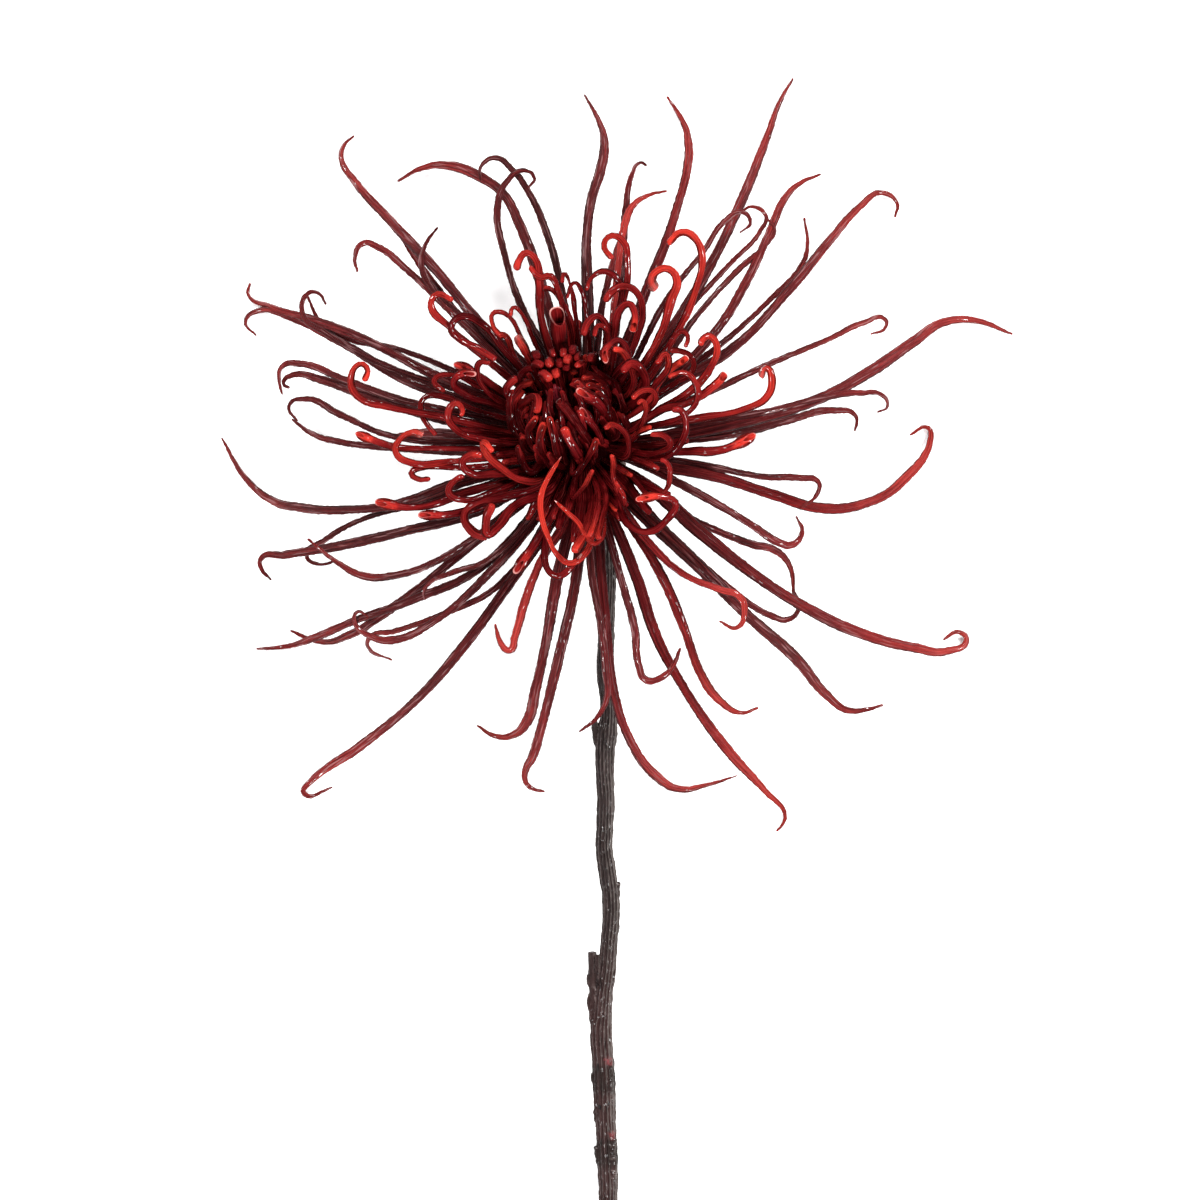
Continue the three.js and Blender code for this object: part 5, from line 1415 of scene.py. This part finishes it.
def filler_plan(index):
    """The plan of a dark floret that fills the crowd between the hooked ones."""
    angle = GOLDEN_ANGLE * index
    reach = 17 + 8 * scatter(7 * index + 3)
    sway = 0.3 * (scatter(5 * index + 1) - 0.5)
    plan = []
    for out, turn in ((8.5, 0), (0.7 * reach, 0.4 * sway), (reach, sway)):
        plan += [HEAD.x + out * math.cos(angle + turn), HEAD.y + out * math.sin(angle + turn)]
    return plan


def covers_gap(plan):
    """Whether a floret with this plan would lie over one of the gaps."""
    root, end = Vector(plan[:2]), Vector(plan[-2:])
    for ends in GAPS:
        for share in (0, 0.5, 1):
            spot = Vector(ends[0]).lerp(Vector(ends[1]), share)
            nearest, place = intersect_point_line(spot, root, end)
            if 0 < place < 1.05 and (nearest.xy - spot).length < GAP_ROOM:
                return True
    return False


def ball():
    """The middle of the ball that the crown florets close over."""
    return head_point(0, 0, BALL_HEIGHT)


def crown_point(x, y, depth):
    """The ball's surface over a place, less a depth, with the eye as a hollow in it."""
    middle = ball()
    hollow = (Vector((x, y)) - EYE).length / EYE_WIDTH
    radius = BALL_RADIUS - depth - EYE_DEPTH * math.exp(-hollow * hollow)
    reach = min((Vector((x, y)) - middle.xy).length, BALL_RADIUS)
    return Vector((x, y, middle.z + math.sqrt(max(radius * radius - reach * reach, 0))))


def crown_route(index, depth, plan):
    """An incurved floret's points: up from the dome and over the ball."""
    points = [crown_point(plan[i], plan[i + 1], depth) for i in range(0, len(plan), 2)]
    inward = points[0] - ball()
    inward = (inward - AXIS * inward.dot(AXIS)).normalized()
    root = head_point(0, 0, 7.5 + 2 * scatter(index)) + inward * 5.4
    middle = root.lerp(points[0], 0.55) + inward * 1.6
    return [root, middle, *points]


def knob_route(top, x, y, low_x, low_y, drop):
    """A floret's points: from the dome out behind the ball and up to its blunt end."""
    outward = Vector((*(Vector((low_x, low_y)) - ball().xy).normalized(), 0))
    root = head_point(0, 0, 9) + outward * 5.5
    low = Vector((low_x, low_y, top - drop))
    return [root, root.lerp(low, 0.6) + outward * 1.2, low, Vector((x, y, top))]


def skirt_route(index):
    """A dark floret round the underside of the ball."""
    angle = 2 * math.pi * (index + 0.5 * scatter(index)) / CROWN_SKIRT
    turn = 0.3 * (scatter(index * 7 + 2) - 0.5)
    rise = 2.2 * scatter(index * 3 + 1)
    return [
        head_point(5.6, angle, 6),
        head_point(10.6, angle, 8.6),
        head_point(11.8, angle + turn, 11.4 + rise),
        head_point(11.2, angle + turn * 2, 14.4 + rise),
    ]


def around_eye(radius, polar, angle):
    """A point about the ball's middle; polar is its angle from the way to the eye."""
    towards_eye = (crown_point(*EYE, 0) - ball()).normalized()
    across = math.sin(polar)
    local = Vector((across * math.cos(angle), across * math.sin(angle), math.cos(polar)))
    turn = Vector((0, 0, 1)).rotation_difference(towards_eye)
    return ball() + turn @ (local * radius)


def inner_route(index):
    """A short floret under the outer ones, which leans in towards the eye."""
    share = (index + 0.5) / INNER_FLORETS
    angle = GOLDEN_ANGLE * index
    end = 0.5 + 1.0 * share
    radius = 9.9 + 0.9 * scatter(index)
    return [
        around_eye(6.0, end + 1.0, angle),
        around_eye(radius, end + 0.66, angle),
        around_eye(radius + 0.5, end + 0.3, angle + 0.1),
        around_eye(radius - 0.2, end, angle + 0.16),
    ]


def heart_route(index):
    """A tiny floret that stands in the eye and curls over its middle."""
    angle = GOLDEN_ANGLE * index
    share = (index + 0.5) / HEART_FLORETS
    polar = 0.03 + 0.15 * math.sqrt(share)
    top = 8.4 + 1.2 * scatter(index * 3)
    return [
        around_eye(3.6, polar * 1.6, angle),
        around_eye(6.4, polar * 1.2, angle),
        around_eye(top, polar * 1.1, angle + 0.3),
        around_eye(top - 0.3, polar * 0.5, angle + 1.4),
    ]


CROWN_RINGS = 30
CROWN_FULLNESS = 1.18  # how much wider than its plan's width a crown floret has grown
CROWN_ROLL = 0.5
KNOB_SEED = 110

# Florets that are hidden for the most part: their number, routes, width, darkest tone and seed.
HIDDEN_FLORETS = [
    (CROWN_SKIRT, skirt_route, taper(1.4, SKIRT_WIDTH, 0.8, 0.62 * SKIRT_WIDTH), 0.3, 40),
    (INNER_FLORETS, inner_route, taper(1.2, 1.7, 0.8, 1.1), 0.25, 60),
]


def crown_taper(width):
    """The width of a crown floret, which hardly narrows."""
    full = CROWN_FULLNESS * width
    return taper(1.4, full, 0.84, 0.95 * full)


def crown_copies(straight):
    """All the florets of the crown's ball."""
    finger = straight["blunt"]
    copies = []
    for index, (kind, tone, width, depth, *plan) in enumerate(CROWN_FLORETS):
        points = crown_route(index, depth, plan)
        upright = kind != "blunt"  # a slit and a lobe face up
        turn = 0.0 if upright else roll(index, CROWN_ROLL)
        width_at = crown_taper(width)
        copies.append(grow(straight[kind], points, width_at, tone, index, turn, upright=upright))
    for index, (tone, width, *place) in enumerate(KNOB_FLORETS):
        points = knob_route(*place)
        turn = roll(index, CROWN_ROLL)
        seed = index + KNOB_SEED
        copies.append(grow(finger, points, crown_taper(width), tone, seed, turn, upright=False))
    for count, route, width_at, darkest, seed in HIDDEN_FLORETS:
        for index in range(count):
            tone = darkest + 0.2 * scatter(index)
            copies.append(grow(finger, route(index), width_at, tone, index + seed, upright=False))
    return copies


def crown_dome():
    """The dome that the crown florets grow from."""
    foot = RING_TOP + GAP
    return turned_core("dome", [
        (5, foot), (DOME_RADIUS, foot + 2.4), (DOME_RADIUS - 0.4, 9), (5.6, 11), (2.4, DOME_TOP),
    ])


def heart_copies(finger):
    """The tiny florets at the bottom of the eye."""
    width_at = taper(0.7, 0.95, 0.8, 0.7)
    tones = [0.35 + 0.4 * scatter(index) for index in range(HEART_FLORETS)]
    return [
        grow(finger, heart_route(index), width_at, tone, index, upright=False)
        for index, tone in enumerate(tones)
    ]


class CrownFlorets(Operator):
    """Makes the incurved florets that close over the heart of the bloom"""

    bl_idname = "flower.crown_florets"
    bl_label = "Crown florets"

    def execute(self, context):
        settings = context.scene.floret_settings
        straight = {kind: tipped_quill(kind, CROWN_RINGS) for kind in ("blunt", "slit", "lobe")}
        piece = join([*crown_copies(straight), crown_dome()], "crown_florets_fine")
        roughen(piece, settings.grain, 0.5 * settings.hooked_swelling)
        finish = floret_finish(
            "crown_floret", RED_STOPS, glow=0.36, glow_start=0.66, root_shade=0.3, root_reach=0.8,
            roughness=settings.hooked_roughness, specular=0.01, coat=0.5, streak_depth=0.00028,
        )
        settle(piece, "crown_florets", finish)
        piece = join(heart_copies(straight["blunt"]), "heart_florets")
        finish = floret_finish(
            "heart_floret", HEART_STOPS, glow=0.3, glow_start=0.5, root_shade=0.3, root_reach=0.8,
            roughness=settings.hooked_roughness, specular=0.1, coat=0.2, streak_depth=0.0001,
        )
        settle(piece, "crown_florets", finish)
        discard(*straight.values())
        return {"FINISHED"}


# The rings of bracts: how many, and the radius and height of each one's foot, middle and tip.
BRACT_RINGS = [
    {"count": 10, "profile": [(3.6, -8.3), (7.2, -7.45), (9, -5.4)]},
    {"count": 12, "profile": [(6.2, -6.8), (9.6, -5.8), (11.2, -3.6)]},
    {"count": 14, "profile": [(7.4, -5.4), (10.2, -4.2), (11.6, -2.4)]},
]
BRACT_THICKNESS = 0.34
BRACT_KEEL = (0.0, -0.06, 1)
BRACT_TAPER = taper(2, 3.1, 0.5, 2.0)
CUP_TONE = 0.4


def straight_bract():
    """A straight bract: a keeled blade that ends in a point."""
    bract = straight_quill("straight_bract", 16, 16, BRACT_THICKNESS, [BRACT_KEEL])
    with editing(bract):
        pick_end(bract)
        for step, size in ((0.16, 0.84), (0.15, 0.76), (0.12, 0.6), (0.08, 0.4)):
            extrude_end(step, size, size)
    return bract


class Involucre(Operator):
    """Makes the cup of overlapping bracts under the head"""

    bl_idname = "flower.involucre"
    bl_label = "Involucre"

    def execute(self, context):
        straight = straight_bract()
        copies = []
        for ring in BRACT_RINGS:
            for index in range(ring["count"]):
                angle = 2 * math.pi * (index + 0.25 * scatter(index)) / ring["count"]
                points = [head_point(r, angle, h) for r, h in ring["profile"]]
                tone = 0.3 + 0.4 * scatter(index * 5)
                facing = head_point(1, angle, -1) - HEAD
                copies.append(grow_bract(straight, points, tone, index, facing))
        profile = [(3.4, CUP_BOTTOM), (7, -7.6), (8.6, -6), (9.4, -4.6), (9.6, DISC_BOTTOM - GAP)]
        cup = turned_core("cup", profile, CUP_TONE)
        piece = join([*copies, cup], "involucre_fine")
        settle(piece, "involucre", bract_finish())
        discard(straight)
        return {"FINISHED"}


def grow_bract(straight, points, tone, seed, facing):
    """A bract on its route, whose back faces a given way."""
    along = (points[-1] - points[0]).normalized()
    side = Vector((0, 0, 1)).cross(along).normalized()
    top = along.cross(side)
    tilt = math.atan2(-facing.dot(side), facing.dot(top))
    return grow(straight, points, BRACT_TAPER, tone, seed, -tilt)


# ---- the stem -----------------------------------------------------------------------------------
STEM_SIDES = 84
STEM_RINGS = 441
TWIG_RINGS = 24
STEM_TONE = 0.5
BROAD_RIBS = 3
NARROW_RIBS = 15
NODE_SPOTS = [(5.1, -154.6), (6.1, -173.2)]

# Side growths: how each ends, its points, its width at the foot and at the end.
STEM_GROWTHS = [
    ("cut", [(3.1, -77, 19.8), (2.2, -73, 20.5), (1.6, -69.1, 21.2)], 2.4, 1.6),
    ("round", [(6.2, -116, 14.8), (7, -112.4, 15.4), (7.8, -109.4, 15.9)], 2.6, 0.8),
    ("cut", [(2.9, -147, 11), (1.4, -137, 12.2), (1, -127.2, 13.4)], 2.7, 2.2),
    ("cut", [(3.2, -140, 12.2), (2.4, -134, 13.2), (2.2, -127.9, 14)], 1.8, 1.6),
    ("round", [(2.4, -138, 12), (1.1, -134.8, 12.4), (1, -132.2, 12.6)], 2.8, 2.5),
    ("round", [(2.4, -147, 11), (1.2, -141.8, 11.6), (1.1, -137, 12)], 2.7, 2.5),
    ("round", [(2.6, -153, 10.2), (1.9, -149.4, 10.6), (1.8, -146.8, 11)], 2.8, 2.4),
    ("round", [(3, -162, 9), (2, -159, 9.3), (1.9, -157, 9.5)], 2.6, 2.4),
    ("round", [(3, -171, 7.8), (2.6, -168, 8.1), (2.6, -166, 8.3)], 2.5, 2.2),
    ("round", [(3.4, -180, 6.8), (2.9, -177.4, 7.1), (2.8, -175.6, 7.3)], 2.6, 2.4),
    ("round", [(4.6, -159, 10), (5.3, -156.6, 10.8), (5.4, -154.8, 11.2)], 2.2, 1.8),
    ("round", [(5, -164, 9.6), (5.2, -160.4, 10.4), (5.1, -158.4, 10.6)], 2.6, 2.4),
    ("round", [(5.4, -178, 8), (6.1, -175.4, 8.8), (6.3, -173.6, 9.2)], 2.2, 1.8),
    ("round", [(5.8, -184, 7.2), (6, -180.4, 8), (5.9, -178, 8.4)], 2.8, 2.5),
]


def stem_points():
    """The stem's middle line from the neck to the cut, and its radii."""
    neck = [head_point(0, 0, CUP_BOTTOM - GAP), head_point(0, 0, CUP_BOTTOM - GAP - NECK_LENGTH)]
    points = neck + [Vector(row[:3]) for row in STEM_ROUTE]
    return points, np.array(NECK_RADII + [row[3] for row in STEM_ROUTE])


def stem_taper(points, radii):
    """The stem's width, from its radii at its points."""
    lengths = running_lengths(points)
    return lambda share: 2 * np.interp(share, lengths / lengths[-1], radii)


class Stem(Operator):
    """Makes the ridged stem with its stubs, buds and knots"""

    bl_idname = "flower.stem"
    bl_label = "Stem"

    def execute(self, context):
        settings = context.scene.stem_settings
        rod = straight_quill("rod", STEM_SIDES, STEM_RINGS, 1.0, [])
        rib_up(rod, settings.ridge_depth)
        points, radii = stem_points()
        stem = grow(rod, points, stem_taper(points, radii), STEM_TONE, 0)
        twigs = {
            "round": tipped_quill("blunt", TWIG_RINGS),
            "cut": straight_quill("stub", HOOK_SIDES, TWIG_RINGS, 0.9, []),
        }
        for index, (ending, route, foot, end) in enumerate(STEM_GROWTHS):
            places = [Vector(place) for place in route]
            width_at = taper(foot, foot, 0.3, end)
            unite(stem, grow(twigs[ending], places, width_at, STEM_TONE, index))
        discard(rod, *twigs.values())
        roughen(stem, settings.grain, settings.swelling)
        rest_on_surface(stem)
        stem.name = "stem_fine"
        stem.data.name = "stem_fine"
        settle(stem, "stem", bark_finish(settings))
        return {"FINISHED"}


def rib_up(rod, depth):
    """Raises the rod's lengthwise ribs, which wander round it along the stem."""
    layer = rod.data.attributes["groove"].data
    for vertex in rod.data.vertices:
        angle = math.atan2(vertex.co.z, vertex.co.y)
        along = vertex.co.x
        wander = 0.9 * math.sin(9 * along) + 0.4 * math.sin(23 * along + 1)
        broad = math.cos(BROAD_RIBS * angle + wander)
        spread = 1.1 * math.sin(2 * angle + 3) + 0.8 * math.sin(14 * along + angle)
        ridge = (0.5 + 0.5 * math.cos(NARROW_RIBS * angle - 2 * wander + spread)) ** 2
        size = 1 + depth * (0.4 * broad + ridge - 0.55)
        vertex.co.y *= size
        vertex.co.z *= size
        layer[vertex.index].value = 1 - ridge


def unite(body, part):
    """Joins a part to a body as one closed solid."""
    apply_modifier(body, "BOOLEAN", operation="UNION", solver="EXACT", object=part)
    bpy.data.meshes.remove(part.data)


# ---- the stage ----------------------------------------------------------------------------------
FLOOR_SIZE = 14
VIEW_CENTRE = Vector((3, -39))  # middle of the view, from the bloom's middle
BLOOM_HEIGHT = 0.035
SENSOR = 36  # mm
CAMERA_REACH = 50
SKY_COLOR = (0.9, 0.92, 0.95, 1)
SKY_STRENGTH = 0.12
LAMP_SIZE = 0.42
LAMP_TARGET = 20  # height that the lamps face, mm
LAMPS = [  # name, place in metres, power as a share of the main lamp's
    ("key", (1.2, 0.7, 1.5), 1.0),
    ("left", (-1.2, 0.5, 1.4), 0.6),
    ("front", (0.3, -1.3, 1.5), 0.6),
    ("back", (-0.2, 1.4, 1.3), 0.4),
    ("low_right", (1.3, -0.8, 1.3), 0.4),
    ("low_left", (-1.1, -1.0, 1.3), 0.3),
]


class Stage(Operator):
    """Makes the floor, the studio lights and the camera that looks down on the flower"""

    bl_idname = "flower.stage"
    bl_label = "Stage"

    def execute(self, context):
        settings = context.scene.stage_settings
        bpy.ops.object.select_all(action="DESELECT")
        bpy.ops.mesh.primitive_plane_add(size=FLOOR_SIZE, location=(0, 0, 0))
        floor = context.object
        floor.name = "studio_floor"
        floor.data.materials.append(floor_finish(settings))
        target = placed((*VIEW_CENTRE, LAMP_TARGET))
        for name, place, share in LAMPS:
            light(name, place, target, share * settings.lamp_power)
        context.scene.world = studio_world()
        context.scene.view_settings.view_transform = "Standard"
        bpy.ops.object.camera_add(
            location=(target.x, target.y, settings.camera_height), rotation=(0, 0, 0),
        )
        camera = context.object
        camera.data.sensor_width = SENSOR
        camera.data.lens = SENSOR * (settings.camera_height - BLOOM_HEIGHT) / settings.view_width
        camera.data.clip_end = CAMERA_REACH
        context.scene.camera = camera
        return {"FINISHED"}


def studio_world():
    """A dim, faintly blue light from all around."""
    world = bpy.data.worlds.new("studio")
    world.use_nodes = True
    background = world.node_tree.nodes["Background"]
    background.inputs["Color"].default_value = SKY_COLOR
    background.inputs["Strength"].default_value = SKY_STRENGTH
    return world


def light(name, place, target, power):
    """A square soft light that faces the flower."""
    bpy.ops.object.light_add(type="AREA", location=place)
    lamp = bpy.context.object
    lamp.name = name
    lamp.data.size = LAMP_SIZE
    lamp.data.energy = power
    lamp.visible_camera = False
    lamp.rotation_euler = (Vector(target) - lamp.location).to_track_quat("-Z", "Y").to_euler()


class FlowerPanel(Panel):
    """Lists the flower's pieces and their settings"""

    bl_idname = "VIEW3D_PT_flower"
    bl_label = "Spider Chrysanthemum"
    bl_space_type = "VIEW_3D"
    bl_region_type = "UI"
    bl_category = "Flower"

    def draw(self, context):
        layout = self.layout
        for maker in MAKERS:
            layout.operator(maker.bl_idname)
        for name in SETTINGS:
            group = getattr(context.scene, name)
            box = layout.box()
            for key in group.bl_rna.properties.keys():
                if key not in ("rna_type", "name"):
                    box.prop(group, key)


MAKERS = [Stage, Stem, Involucre, LongFlorets, HookedFlorets, CrownFlorets]
SETTINGS = {
    "floret_settings": FloretSettings,
    "stem_settings": StemSettings,
    "stage_settings": StageSettings,
}


def register():
    for kind in (*SETTINGS.values(), *MAKERS, FlowerPanel):
        bpy.utils.register_class(kind)
    for name, kind in SETTINGS.items():
        setattr(bpy.types.Scene, name, PointerProperty(type=kind))


def unregister():
    for name in SETTINGS:
        delattr(bpy.types.Scene, name)
    for kind in (FlowerPanel, *reversed(MAKERS), *SETTINGS.values()):
        bpy.utils.unregister_class(kind)


def main():
    register()
    for maker in MAKERS:
        group, call = maker.bl_idname.split(".")
        getattr(getattr(bpy.ops, group), call)()


if __name__ == "__main__":
    main()
